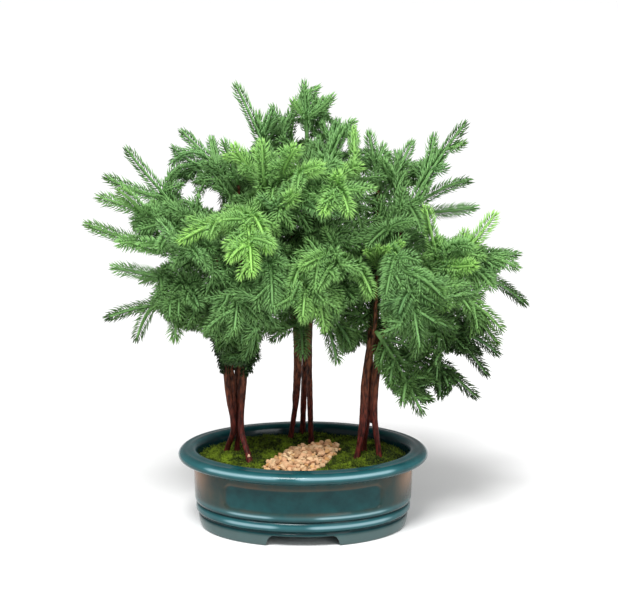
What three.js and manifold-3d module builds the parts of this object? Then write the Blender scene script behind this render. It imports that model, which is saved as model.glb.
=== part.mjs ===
// Norfolk island pine bonsai forest: three clumps of thin-stemmed young pines in an oval glazed pot.
// Millimetres, +Z up. The layout is written about the pot's centre at table height, and the whole
// group is moved at the end so that its origin is the bottom centre of its box.

import * as THREE from 'three';
import { mergeVertices } from 'three/addons/utils/BufferGeometryUtils.js';
import Module from 'manifold-3d';

const wasm = await Module();
wasm.setup();

// Driving dimensions of the pot
const POT_HALF_LENGTH = 127;
const POT_HALF_WIDTH = 96;
const POT_SIDES = 32;
const POT_HEIGHT = 81;
const FLOOR_UNDERSIDE = 12;
const FLOOR_TOP = 18;
const ARCH_WIDTH = 70;
const PANEL_HALF_WIDTH = 79;
const PANEL_BOTTOM = 35;
const PANEL_TOP = 60.5;
const PANEL_DEPTH = 1.4;
const WALL_INSET = 15.4;
const ARCH_DEPTH = 42;
const DRAIN_RADIUS = 8;
const DRAIN_X = 42;
const SCREEN_WIDTH = 24;
const SCREEN_THICKNESS = 0.8;
const FIT_GAP = 0.35;
const ROOT_GAP = 0.44;

// Driving dimensions of the planting
const SOIL_TOP = 66;
const MOSS_TOP = 74;
const MOSS_EDGE = 71.5;
const STEM_FOOT = 50;
const STEM_SIDES = 5;
const PEBBLE_RADIUS = 7;
const PEBBLE_SPACING = 15.6;

// Driving dimensions of the foliage
const TWIG_RADIUS = 1.9;
const BRANCHLET_RADIUS = 1.35;
const WHORL_LENGTH = 3;
const WHORL_PITCH = 21.5;
const NEEDLE_OUT = 6.6;
const NEEDLE_FORWARD = 6.4;
const NEEDLE_ROOT_SHARE = 0.3;
const NEEDLE_RADIUS = 0.35;
const TIP_LENGTH = 11.5;
const BRANCHLET_ROOT = 8;
const BRANCHLET_ANGLE = 0.92;
const BARE_SHARE = 0.34;
const CURVE_STEPS = 16;
const BRANCHLET_STEPS = 6;
const TWIG_CLEARANCE = 5;
const GAP_STEP = 4;
const ROOT_FREE = 14;
const CROWDED = 0.6;
const ALONG_MAIN = 0.88;
const ROOT_HIDDEN = 3;
const LOWEST_TWIG = 150;
const TURNS = [0, 4, -4, 8, -8, 12, -12, 18, -18];
const RULE_PAIRS = [{ share: 0.34, taper: 1 }, { share: 0.6, taper: 0.78 }];
const UP = new THREE.Vector3(0, 0, 1);
const SPRAY_UP = new THREE.Vector3(0, -0.5, 0.87);

// Driving dimensions of the inner boughs: how far apart along its shoot they leave, how many together,
// how much they lift low down and how much more at the shoot's tip, and the turns tried to find room
const SHOOT_RISE = -26;
const SHOOT_BARE = 14;
const INNER_PITCH = 19;
const BOUGHS_A_WHORL = 2;
const BOUGH_RISE = 5;
const LOWEST_LIFT = -0.25;
const LIFT_GAIN = 0.7;
const BOUGH_BENDS = [0, 0.25, -0.25, 0.5, -0.5];
const GOLDEN_TURN = 2.399963;
const NEEDLE_CLEARANCE = 0.6;

// Half-width lost from the lip's widest line, and height, round the pot from under its floor to inside
const POT_PROFILE = [
  [30, FLOOR_UNDERSIDE], [31, 0], [23.5, 0], [21.3, 3], [19.6, 12], [20.6, 15], [17.4, 18.5],
  [17.4, 23.5], [18.9, 26.5], [16.2, 30.5], [15.3, 60], [14.7, 67], [6, 69.2], [0.8, 72.4],
  [0, 76.5], [3.4, 80.3], [8, POT_HEIGHT], [19.2, 76.6], [24, 24], [32, FLOOR_TOP],
];

// Stems: places along each stem from its foot to its top, and its radius at the foot and the top
const STEMS = {
  left_1: { knots: [[-80, 3, STEM_FOOT], [-78, 4, 76], [-70.5, -7, 103], [-76, -9, 145],
    [-80, -8, 200], [-84, -4, 260], [-87, -1, 290]], radii: [2.7, 1.8] },
  left_2: { knots: [[-69, 9, STEM_FOOT], [-68, 6, 76], [-66, -1, 103], [-67, 2, 145], [-65, 8, 200],
    [-62, 10, 280], [-64, 8, 350]], radii: [2.6, 1.6] },
  left_3: { knots: [[-52, -31, STEM_FOOT], [-54, -29, 76], [-62.5, -13, 103], [-60, -14, 145],
    [-55, -20, 200], [-50, -26, 260], [-48, -29, 300]], radii: [2.8, 1.8] },
  middle_1: { knots: [[-14, 54, STEM_FOOT], [-13, 53, 76], [-6, 36, 130], [-3.5, 22, 192],
    [-9, 20, 260], [-16, 20, 330]], radii: [2.5, 1.7] },
  middle_2: { knots: [[-1, 66, STEM_FOOT], [-1, 66, 76], [1, 50, 130], [2.5, 32, 192], [3, 32, 260],
    [4, 30, 330], [4, 26, 392]], radii: [2.8, 1.7] },
  middle_3: { knots: [[9, 41, STEM_FOOT], [8, 40, 76], [7, 27, 130], [6.5, 18, 192], [11, 12, 260],
    [16, 6, 332]], radii: [2.6, 1.7] },
  right_1: { knots: [[54, -14, STEM_FOOT], [55, -13, 76], [62, -11, 115], [64.5, -12, 160],
    [71, -14, 204], [73, -14, 276]], radii: [2.8, 1.7] },
  right_2: { knots: [[61, 11, STEM_FOOT], [62, 9, 76], [66, -1, 115], [68, 0, 160], [68, 6, 204],
    [74, 12, 270], [75, 14, 344]], radii: [2.5, 1.7] },
  right_3: { knots: [[79, -13, STEM_FOOT], [77, -13, 76], [72.5, -11, 115], [74.5, -10, 160],
    [81, -8, 204], [90, -6, 260], [97, -4, 308]], radii: [2.7, 1.7] },
};

// Sprays: the stem and height each grows from, its tip, how far its middle arches over the straight
// line, the same for its side twigs, and where along it each side twig leaves and its tip, or one
// length where a rule places them. A spray set at its stem's top carries the stem on.
const SPRAYS = [
  ['left_1', 290, [-176, 10, 387], -5, -3,
    [[0.5, -197, 0, 360], [0.5, -130, 25, 361], [0.42, -155, 35, 322]]],
  ['left_1', 283, [-201, -30, 344], 7, 2,
    [[0.45, -170, -10, 316], [0.3, -138, -55, 296], [0.62, -177, -55, 354]]],
  ['left_1', 274, [-216, -10, 314], -3, 2,
    [[0.45, -180, -45, 300], [0.34, -157, -60, 301], [0.4, -161, 20, 320]]],
  ['left_2', 338, [-125, 65, 397], 4, -2,
    [[0.42, -133, 50, 383], [0.2, -134, 40, 364], [0.3, -95, 85, 388]]],
  ['left_2', 324, [19, -95, 383], 6, -3,
    [[0.14, -67, -45, 398], [0.32, -39, -65, 404], [0.5, -5, -85, 400], [0.4, -6, -95, 359]]],
  ['left_2', 286, [-47, -120, 283], 44, 5,
    [[0.42, -118, -80, 308], [0.55, -32, -100, 301], [0.72, -69, -118, 297]]],
  ['left_1', 244, [-190, -20, 272], 2, 5,
    [[0.5, -137, -45, 240], [0.28, -99, -75, 243], [0.42, -165, 25, 248]]],
  ['left_1', 221, [-199, 0, 215], 12, 8, [[0.62, -167, -15, 195], [0.34, -125, -50, 203]]],
  ['left_3', 204, [-100, -52, 216], 14, 5, []],
  ['left_3', 232, [-65, -98, 222], 36, 5,
    [[0.45, -85, -85, 232], [0.5, -43, -90, 225], [0.7, -26, -80, 226]]],
  ['left_3', 168, [-45, -36, 181], 10, 2, []],
  ['left_2', 350, [-78, -8, 397], 2, -4, [[0.55, -58, 20, 381], [0.3, -91, 35, 371]]],
  ['left_3', 300, [38, -64, 366], 11, 2,
    [[0.35, -26, -80, 347], [0.55, 18, -90, 339], [0.7, 38, -60, 378]]],
  ['left_2', 268, [-140, 98, 312], 10, 4, 44],
  ['left_2', 228, [-104, 118, 238], 26, 6, 44],
  ['left_2', 300, [-42, 128, 322], 24, 6, 42],
  ['middle_1', 330, [-67, 15, 450], 4, -3,
    [[0.45, -45, 30, 421], [0.25, -57, -20, 378], [0.6, -30, 12, 426]]],
  ['middle_2', 352, [-32, 50, 425], 0, -3, [[0.5, -19, 62, 411], [0.35, -42, 75, 386]]],
  ['middle_2', 392, [1, 20, 452], 0, -3, [[0.3, -11, 12, 435], [0.8, 17, 28, 446], [0.14, 31, 8, 440]]],
  ['middle_3', 332, [53, 0, 414], 20, 4, [[0.9, 51, -8, 386], [0.3, 35, 18, 415], [0.2, 15, -30, 380]]],
  ['middle_3', 306, [44, -98, 336], 34, 4,
    [[0.62, 19, -102, 338], [0.45, 33, -80, 374], [0.35, 58, -50, 376]]],
  ['middle_3', 262, [0, -110, 238], 30, 5,
    [[0.5, 11, -95, 240], [0.6, 21, -88, 223], [0.45, -12, -100, 256]]],
  ['middle_1', 254, [-43, -105, 249], 40, 5, [[0.6, -28, -112, 247], [0.42, -37, -92, 303]]],
  ['middle_1', 206, [0, -42, 185], 14, 4, [[0.3, -33, -25, 198]]],
  ['middle_3', 240, [51, -66, 248], 12, 3, [[0.5, 30, -70, 231], [0.4, 49, -54, 268]]],
  ['middle_3', 218, [34, -50, 181], 20, 5, [[0.5, 22, -60, 217], [0.45, 48, -45, 196]]],
  ['middle_2', 296, [52, 140, 330], 18, 4, 44],
  ['middle_1', 290, [-66, 138, 286], 30, 8, 42],
  ['right_2', 344, [65, 10, 404], 0, -2, [[0.35, 81, 22, 390], [0.3, 54, -10, 387]]],
  ['right_2', 328, [111, 42, 390], 0, -2, [[0.35, 97, 70, 353], [0.25, 95, 60, 377], [0.35, 78, 2, 376]]],
  ['right_3', 308, [161, 0, 413], 8, -2,
    [[0.42, 130, 12, 401], [0.75, 160, -4, 395], [0.52, 142, -14, 372]]],
  ['right_2', 290, [173, 60, 346], 14, -2, [[0.42, 177, 35, 323]]],
  ['right_3', 282, [189, -22, 327], -28, -3,
    [[0.52, 162, 0, 307], [0.42, 167, -60, 283], [0.3, 120, -20, 334]]],
  ['right_3', 256, [217, 0, 281], 7, 2,
    [[0.7, 214, -16, 269], [0.5, 189, -30, 251], [0.4, 165, -50, 295]]],
  ['right_3', 232, [227, 20, 224], 34, 4, [[0.45, 177, -25, 236]]],
  ['right_3', 243, [196, -50, 214], 22, 4, [[0.6, 194, -35, 197], [0.35, 136, -95, 247]]],
  ['right_3', 200, [189, 14, 151], 28, 4, [[0.55, 199, 2, 176], [0.3, 149, -50, 215]]],
  ['right_3', 182, [176, -10, 135], 14, 4,
    [[0.5, 137, -25, 138], [0.3, 122, -50, 193], [0.6, 150, -24, 166]]],
  ['right_1', 206, [118, -60, 132], 4, 4,
    [[0.55, 97, -72, 145], [0.3, 85, -55, 158], [0.5, 127, -50, 165]]],
  ['right_1', 264, [111, -112, 209], 52, 5,
    [[0.5, 134, -112, 259], [0.62, 89, -118, 243], [0.4, 78, -100, 256]]],
  ['right_1', 254, [-2, -98, 287], 18, 4,
    [[0.2, 67, -85, 256], [0.62, -37, -100, 303], [0.5, 14, -102, 267]]],
  ['right_2', 258, [120, 122, 300], 16, 6, 44],
];

// Inner boughs: the stem and height that a clump's young shoot climbs from, its tip, and the middle and
// half sizes of the egg-shaped space that its boughs fill
const INNER_SHOOTS = [
  { stem: 'left_2', height: 212, tip: [-72, -12, 332], middle: [-85, -5, 275], sizes: [70, 84, 92] },
  { stem: 'middle_3', height: 222, tip: [0, -6, 364], middle: [2, 8, 312], sizes: [58, 84, 100] },
  { stem: 'right_2', height: 208, tip: [84, 2, 328], middle: [112, -5, 250], sizes: [70, 84, 84] },
];

// A repeatable stream of numbers from 0 to 1
function seededStream(seed) {
  let state = Math.imul(seed + 1, 2654435761) >>> 0;
  return () => {
    state = (Math.imul(state, 1664525) + 1013904223) >>> 0;
    return state / 4294967296;
  };
}

// A solid under construction: vertices, and triangles that face out
function newSolid() {
  return { vertices: [], triangles: [] };
}

function addVertex(solid, x, y, z) {
  solid.vertices.push(x, y, z);
  return solid.vertices.length / 3 - 1;
}

function toGeometry(solid) {
  const geometry = new THREE.BufferGeometry();
  geometry.setAttribute('position', new THREE.Float32BufferAttribute(solid.vertices, 3));
  geometry.setIndex(solid.triangles);
  return geometry;
}

// A three.js geometry as a closed solid for joining and cutting
function toManifold(geometry) {
  const bare = geometry.clone();
  bare.deleteAttribute('normal');
  bare.deleteAttribute('uv');
  const welded = mergeVertices(bare, 1e-4);
  return new wasm.Manifold(new wasm.Mesh({
    numProp: 3,
    vertProperties: new Float32Array(welded.attributes.position.array),
    triVerts: new Uint32Array(welded.index.array),
  }));
}

function fromManifold(manifold) {
  const mesh = manifold.getMesh();
  const geometry = new THREE.BufferGeometry();
  geometry.setAttribute('position', new THREE.Float32BufferAttribute(mesh.vertProperties, 3));
  geometry.setIndex(Array.from(mesh.triVerts));
  return geometry;
}

// Joins rings of vertices, each with the same count, by triangles that face out when the rings
// run counter-clockwise seen from the last one
function joinRings(solid, rings) {
  for (let row = 0; row + 1 < rings.length; row += 1) {
    const lower = rings[row];
    const upper = rings[row + 1];
    for (let i = 0; i < lower.length; i += 1) {
      const next = (i + 1) % lower.length;
      solid.triangles.push(lower[i], lower[next], upper[next], lower[i], upper[next], upper[i]);
    }
  }
}

// Closes a ring with a fan to a middle vertex, facing up or down
function closeRing(solid, ring, middle, facesUp) {
  for (let i = 0; i < ring.length; i += 1) {
    const next = (i + 1) % ring.length;
    if (facesUp) solid.triangles.push(ring[i], ring[next], middle);
    else solid.triangles.push(ring[next], ring[i], middle);
  }
}

// A ring of the pot's plan at an inset from the lip's widest line
function ovalRing(solid, inset, heightAt) {
  const ring = [];
  for (let i = 0; i < POT_SIDES; i += 1) {
    const angle = (2 * Math.PI * i) / POT_SIDES;
    const x = (POT_HALF_LENGTH - inset) * Math.cos(angle);
    const y = (POT_HALF_WIDTH - inset) * Math.sin(angle);
    ring.push(addVertex(solid, x, y, typeof heightAt === 'number' ? heightAt : heightAt(x, y)));
  }
  return ring;
}

// A solid turned from oval rings, closed by a middle point under the first and over the last
function ovalSolid(profile, middleHeights) {
  const solid = newSolid();
  const rings = profile.map(([inset, height]) => ovalRing(solid, inset, height));
  joinRings(solid, rings);
  closeRing(solid, rings[0], addVertex(solid, 0, 0, middleHeights[0]), false);
  closeRing(solid, rings[rings.length - 1], addVertex(solid, 0, 0, middleHeights[1]), true);
  return toGeometry(solid);
}

// A band of oval plan between two insets, used to sink the panels evenly into the curved wall
function ovalBand(outerInset, innerInset, bottom, top) {
  const solid = newSolid();
  const rings = [
    ovalRing(solid, innerInset, bottom), ovalRing(solid, outerInset, bottom),
    ovalRing(solid, outerInset, top), ovalRing(solid, innerInset, top),
  ];
  joinRings(solid, [...rings, rings[0]]);
  return toGeometry(solid);
}

// A rounded rectangle pushed through along Y, from fromY to toY
function crosswisePrism(halfWidth, bottom, top, corner, fromY, toY) {
  const outline = new THREE.Shape();
  outline.moveTo(-halfWidth, bottom);
  outline.lineTo(halfWidth, bottom);
  outline.lineTo(halfWidth, top - corner);
  outline.quadraticCurveTo(halfWidth, top, halfWidth - corner, top);
  outline.lineTo(-halfWidth + corner, top);
  outline.quadraticCurveTo(-halfWidth, top, -halfWidth, top - corner);
  outline.closePath();
  const prism = new THREE.ExtrudeGeometry(outline, {
    depth: toY - fromY, bevelEnabled: false, curveSegments: 3,
  });
  prism.rotateX(Math.PI / 2);
  prism.translate(0, toY, 0);
  return prism;
}

function makePot() {
  let pot = toManifold(ovalSolid(POT_PROFILE, [FLOOR_UNDERSIDE, FLOOR_TOP]));
  const bandBottom = PANEL_BOTTOM - 8;
  const band = toManifold(ovalBand(WALL_INSET - 6, WALL_INSET + PANEL_DEPTH, bandBottom, PANEL_TOP + 1));
  for (const side of [-1, 1]) {
    const [panelFrom, panelTo] = side < 0 ? [-POT_HALF_WIDTH, 0] : [0, POT_HALF_WIDTH];
    const panel = crosswisePrism(PANEL_HALF_WIDTH, PANEL_BOTTOM, PANEL_TOP, 8, panelFrom, panelTo);
    pot = pot.subtract(toManifold(panel).intersect(band));
    const archFrom = side < 0 ? -POT_HALF_WIDTH : POT_HALF_WIDTH - ARCH_DEPTH;
    const arch = crosswisePrism(ARCH_WIDTH / 2, -4, FLOOR_UNDERSIDE, 6, archFrom, archFrom + ARCH_DEPTH);
    pot = pot.subtract(toManifold(arch));
    const drain = new THREE.CylinderGeometry(DRAIN_RADIUS, DRAIN_RADIUS, 20, 12);
    drain.rotateX(Math.PI / 2);
    drain.translate(side * DRAIN_X, 0, FLOOR_UNDERSIDE);
    pot = pot.subtract(toManifold(drain));
  }
  return fromManifold(pot);
}

function makeDrainScreen(side) {
  const screen = new THREE.BoxGeometry(SCREEN_WIDTH, SCREEN_WIDTH, SCREEN_THICKNESS);
  screen.translate(side * DRAIN_X, 0, FLOOR_TOP + FIT_GAP + SCREEN_THICKNESS / 2);
  return screen;
}

// The place of a stem's middle line at a height, eased smoothly from knot to knot
function stemPlace(stem, height) {
  const { knots } = stem;
  const last = knots.length - 1;
  let k = 0;
  while (k < last - 1 && height > knots[k + 1][2]) k += 1;
  const slope = (at, axis) => {
    const before = knots[Math.max(at - 1, 0)];
    const after = knots[Math.min(at + 1, last)];
    return (after[axis] - before[axis]) / (after[2] - before[2]);
  };
  const span = knots[k + 1][2] - knots[k][2];
  const t = (height - knots[k][2]) / span;
  const place = [0, 1].map((axis) => (
    (2 * t ** 3 - 3 * t ** 2 + 1) * knots[k][axis] + (t ** 3 - 2 * t ** 2 + t) * span * slope(k, axis)
    + (3 * t ** 2 - 2 * t ** 3) * knots[k + 1][axis] + (t ** 3 - t ** 2) * span * slope(k + 1, axis)));
  return new THREE.Vector3(place[0], place[1], height);
}

function stemRadius(stem, height) {
  const foot = stem.knots[0][2];
  const top = stem.knots[stem.knots.length - 1][2];
  const share = (height - foot) / (top - foot);
  return stem.radii[0] + (stem.radii[1] - stem.radii[0]) * share;
}

// The directions of the corners of a stem's section
function stemCorners() {
  return Array.from({ length: STEM_SIDES }, (_, i) => (2 * Math.PI * i) / STEM_SIDES);
}

// How far a stem reaches from its middle line towards a level direction
function stemReach(stem, height, towards) {
  const facing = Math.atan2(towards.y, towards.x);
  return stemRadius(stem, height) * Math.max(...stemCorners().map((corner) => Math.cos(facing - corner)));
}

function makeStem(stem, extraRadius = 0, footDrop = 0) {
  const solid = newSolid();
  const rings = [];
  const heights = [];
  stem.knots.forEach((knot, k) => {
    heights.push(knot[2]);
    if (k + 1 < stem.knots.length && stem.knots[k + 1][2] - knot[2] > 50) {
      heights.push((knot[2] + stem.knots[k + 1][2]) / 2);
    }
  });
  for (const height of heights) {
    const middle = stemPlace(stem, height);
    const radius = stemRadius(stem, height) + extraRadius;
    const level = height - (height === STEM_FOOT ? footDrop : 0);
    rings.push(stemCorners().map((angle) => (
      addVertex(solid, middle.x + radius * Math.cos(angle), middle.y + radius * Math.sin(angle), level)
    )));
  }
  joinRings(solid, rings);
  const foot = stemPlace(stem, heights[0]);
  const top = stemPlace(stem, heights[heights.length - 1]);
  closeRing(solid, rings[0], addVertex(solid, foot.x, foot.y, foot.z - footDrop), false);
  closeRing(solid, rings[rings.length - 1], addVertex(solid, top.x, top.y, top.z), true);
  return toGeometry(solid);
}

// Everything that the stems need cut out of the soil and the moss, with a fitting gap
function cutStemHoles(body) {
  let cut = body;
  for (const stem of Object.values(STEMS)) {
    cut = cut.subtract(toManifold(makeStem(stem, FIT_GAP, FIT_GAP)));
  }
  return cut;
}

// The inset, at a height, of a body that fits inside the pot's wall with a fitting gap
function insetInside(height) {
  const [mouthInset, mouthHeight] = POT_PROFILE[POT_PROFILE.length - 3];
  const [footInset, footHeight] = POT_PROFILE[POT_PROFILE.length - 2];
  const share = (mouthHeight - height) / (mouthHeight - footHeight);
  return mouthInset + (footInset - mouthInset) * share + FIT_GAP;
}

function makeSoil() {
  const bottom = FLOOR_TOP + SCREEN_THICKNESS + 2 * FIT_GAP;
  const shoulder = 26;
  const rows = [[33, bottom], [insetInside(shoulder), shoulder], [insetInside(SOIL_TOP), SOIL_TOP]];
  const soil = ovalSolid(rows, [bottom, SOIL_TOP]);
  return fromManifold(cutStemHoles(toManifold(soil)));
}

// The moss's mounded surface
function mossHeight(x, y) {
  return MOSS_TOP + 1.5 * Math.sin(x / 13 + 0.6) * Math.cos(y / 11) + 1.1 * Math.sin(x / 7.3 + y / 9.1);
}

// The plan of the gravel bed, from the front rim back to the middle clump
const GRAVEL_PLAN = [[-44, -47], [-34, -22], [-21, 6], [-8, 24], [8, 31], [26, 40], [36, 40], [39, 14],
  [30, -18], [18, -48], [12, -64], [-14, -69], [-32, -62]];

function gravelPrism(inset, bottom, top) {
  const middleX = GRAVEL_PLAN.reduce((sum, [x]) => sum + x, 0) / GRAVEL_PLAN.length;
  const middleY = GRAVEL_PLAN.reduce((sum, [, y]) => sum + y, 0) / GRAVEL_PLAN.length;
  const outline = new THREE.Shape(GRAVEL_PLAN.map(([x, y]) => {
    const reach = Math.hypot(x - middleX, y - middleY);
    const scale = (reach - inset) / reach;
    return new THREE.Vector2(middleX + (x - middleX) * scale, middleY + (y - middleY) * scale);
  }));
  const prism = new THREE.ExtrudeGeometry(outline, { depth: top - bottom, bevelEnabled: false });
  prism.translate(0, 0, bottom);
  return prism;
}

function makeMoss() {
  const bottom = SOIL_TOP + FIT_GAP;
  const solid = newSolid();
  const rings = [
    ovalRing(solid, insetInside(bottom), bottom), ovalRing(solid, insetInside(MOSS_EDGE), MOSS_EDGE),
    ovalRing(solid, 34, mossHeight), ovalRing(solid, 60, mossHeight),
  ];
  joinRings(solid, rings);
  closeRing(solid, rings[0], addVertex(solid, 0, 0, bottom), false);
  closeRing(solid, rings[rings.length - 1], addVertex(solid, 0, 0, mossHeight(0, 0)), true);
  let moss = toManifold(toGeometry(solid));
  moss = moss.subtract(toManifold(gravelPrism(0, SOIL_TOP - 4, POT_HEIGHT + 10)));
  return fromManifold(cutStemHoles(moss));
}

function insideGravel(x, y, inset) {
  let inside = true;
  GRAVEL_PLAN.forEach(([x0, y0], i) => {
    const [x1, y1] = GRAVEL_PLAN[(i + 1) % GRAVEL_PLAN.length];
    const edge = Math.hypot(x1 - x0, y1 - y0);
    const side = ((x1 - x0) * (y - y0) - (y1 - y0) * (x - x0)) / edge;
    if (side > -inset) inside = false;
  });
  return inside;
}

function makePebble(radius, draw) {
  const pebble = new THREE.IcosahedronGeometry(radius, 0);
  pebble.scale(0.85 + 0.4 * draw(), 0.75 + 0.35 * draw(), 0.6 + 0.25 * draw());
  pebble.rotateX(draw() * Math.PI);
  pebble.rotateZ(draw() * Math.PI);
  return pebble;
}

function makeGravel() {
  const draw = seededStream(7);
  const bottom = SOIL_TOP + FIT_GAP;
  const pieces = [toManifold(gravelPrism(FIT_GAP, bottom, MOSS_TOP - 2))];
  let row = 0;
  for (let y = -72; y < 48; y += PEBBLE_SPACING * 0.87) {
    for (let x = -50; x < 46; x += PEBBLE_SPACING) {
      const px = x + (row % 2) * PEBBLE_SPACING * 0.5 + (draw() - 0.5) * 3;
      const py = y + (draw() - 0.5) * 3;
      const size = PEBBLE_RADIUS * (0.85 + 0.3 * draw());
      const pebble = makePebble(size, draw);
      pebble.translate(px, py, MOSS_TOP - 0.6 + 2 * draw());
      if (insideGravel(px, py, 3)) pieces.push(toManifold(pebble));
    }
    row += 1;
  }
  const heap = wasm.Manifold.union(pieces);
  const bed = toManifold(gravelPrism(FIT_GAP, bottom, POT_HEIGHT + 10));
  return fromManifold(heap.intersect(bed));
}

// Places along a curve from start to end whose middle is lifted by rise
function archedPath(start, end, rise, count) {
  const control = start.clone().add(end).multiplyScalar(0.5);
  control.z += 2 * rise;
  const path = [];
  for (let i = 0; i <= count; i += 1) {
    const t = i / count;
    path.push(new THREE.Vector3()
      .addScaledVector(start, (1 - t) ** 2)
      .addScaledVector(control, 2 * t * (1 - t))
      .addScaledVector(end, t * t));
  }
  return path;
}

// The place and direction at a distance along a path of short steps
function alongPath(path, distance) {
  let left = distance;
  for (let i = 0; i + 1 < path.length; i += 1) {
    const step = path[i + 1].clone().sub(path[i]);
    const length = step.length();
    if (left <= length || i + 2 === path.length) {
      const tangent = step.clone().divideScalar(length);
      return { place: path[i].clone().addScaledVector(tangent, left), tangent };
    }
    left -= length;
  }
  return null;
}

function pathLength(path) {
  let total = 0;
  for (let i = 0; i + 1 < path.length; i += 1) total += path[i].distanceTo(path[i + 1]);
  return total;
}

// Whorls spread evenly along a twig from a first distance, the last one near its tip
function spreadWhorls(first, length, pitch) {
  const last = length - TIP_LENGTH;
  const count = Math.max(1, Math.round((last - first) / pitch) + 1);
  const whorls = [];
  for (let i = 0; i < count; i += 1) {
    const at = count === 1 ? last : first + ((last - first) * i) / (count - 1);
    whorls.push({ at, branchlets: [] });
  }
  return whorls;
}

function describeTwig(path, radius, first, owner, pitch = WHORL_PITCH) {
  const length = pathLength(path);
  return { path, length, radius, whorls: spreadWhorls(first, length, pitch), owner };
}

// Points that later twigs have to keep away from
const occupied = [];

// Evenly spaced places on a path from a distance on, a few millimetres apart
function finePlaces(path, from = 0) {
  const length = pathLength(path);
  const count = Math.ceil((length - from) / GAP_STEP);
  return Array.from({ length: count + 1 }, (_, i) => (
    alongPath(path, from + ((length - from) * i) / count).place));
}

function isClear(path) {
  return finePlaces(path, ROOT_FREE).every((place) => (
    occupied.every((other) => other.distanceToSquared(place) >= TWIG_CLEARANCE ** 2)));
}

// Where a spray leaves its stem, and the way it sets out: up from the stem's top, or from the side
// that faces its tip
function sprayRoot(stem, height, end) {
  const foot = stemPlace(stem, height);
  const isLeader = height === stem.knots[stem.knots.length - 1][2];
  const outward = isLeader ? new THREE.Vector3(0, 0, 1) : end.clone().sub(foot).setZ(0).normalize();
  const reach = isLeader ? 0 : stemReach(stem, height, outward);
  return { root: foot.addScaledVector(outward, reach + ROOT_GAP), outward };
}

// Side twigs of a spray that has none of its own: two pairs, level and spread wide
function ruleTips(number, length, branchletLength, sag, path) {
  const draw = seededStream(100 + number);
  const tips = [];
  for (const { share, taper } of RULE_PAIRS) {
    const at = alongPath(path, share * length);
    for (const hand of [-1, 1]) {
      const side = new THREE.Vector3().crossVectors(at.tangent, UP).normalize().multiplyScalar(hand);
      const reach = branchletLength * taper * (0.88 + 0.24 * draw());
      const spread = BRANCHLET_ANGLE + (draw() - 0.5) * 0.24;
      const tip = at.place.clone().addScaledVector(at.tangent, reach * Math.cos(spread))
        .addScaledVector(side, reach * Math.sin(spread));
      tips.push([share, tip.x, tip.y, tip.z - sag]);
    }
  }
  return tips;
}

// The direction, across the main twig, in which a side twig sets out
function setOutAcross(path, tangent) {
  const across = path[1].clone().sub(path[0]);
  return across.addScaledVector(tangent, -across.dot(tangent)).normalize();
}

// Whether a side twig would leave its whorl along the main twig, or on the side of one that is there
function isCrowded(whorl, path, tangent) {
  if (path[1].clone().sub(path[0]).normalize().dot(tangent) > ALONG_MAIN) return true;
  const across = setOutAcross(path, tangent);
  return whorl.branchlets.some((other) => setOutAcross(other.path, tangent).dot(across) > CROWDED);
}

// Adds a side twig from the first whorl, to the first end and with the first arch that keep it clear
// of what is there, or leaves it out
function addBranchlet(spray, whorls, ends, rise) {
  for (const whorl of whorls) {
    const start = alongPath(spray.main.path, whorl.at + WHORL_LENGTH / 2);
    for (const end of ends) {
      for (const turn of TURNS) {
        const path = archedPath(start.place, end, rise + turn, BRANCHLET_STEPS);
        if (!isCrowded(whorl, path, start.tangent) && isClear(path)) {
          const owner = `${spray.main.owner} branchlet ${spray.branchlets.length}`;
          const branchlet = describeTwig(path, BRANCHLET_RADIUS, BRANCHLET_ROOT, owner);
          spray.branchlets.push(branchlet);
          whorl.branchlets.push(branchlet);
          occupied.push(...finePlaces(path, ROOT_FREE));
          return;
        }
      }
    }
  }
}

// The twigs of one spray: its main twig, and side twigs from the whorls nearest to where they leave
function layOutSpray(row, number) {
  const [stemName, height, tip, rise, sideRise, sides] = row;
  const end = new THREE.Vector3(...tip);
  const { root, outward } = sprayRoot(STEMS[stemName], height, end);
  const path = archedPath(root, end, rise, CURVE_STEPS);
  const length = pathLength(path);
  const main = describeTwig(path, TWIG_RADIUS, BARE_SHARE * length, `twig ${number}`);
  const spray = { main, branchlets: [], outward, number };
  occupied.push(...finePlaces(path));
  const tips = Array.isArray(sides) ? sides : ruleTips(number, length, sides, sideRise, path);
  for (const [share, ...sideTip] of tips) {
    const nearest = [...main.whorls].sort((one, other) => (
      Math.abs(one.at - share * length) - Math.abs(other.at - share * length)));
    addBranchlet(spray, nearest, [new THREE.Vector3(...sideTip)], sideRise);
  }
  return spray;
}

// How far a ray from inside an egg-shaped space runs before it leaves it
function reachInside(start, direction, middle, sizes) {
  const from = start.clone().sub(middle).divide(sizes);
  const along = direction.clone().divide(sizes);
  const a = along.dot(along);
  const b = from.dot(along);
  const c = from.dot(from) - 1;
  return (-b + Math.sqrt(Math.max(b * b - a * c, 0))) / a;
}

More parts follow.
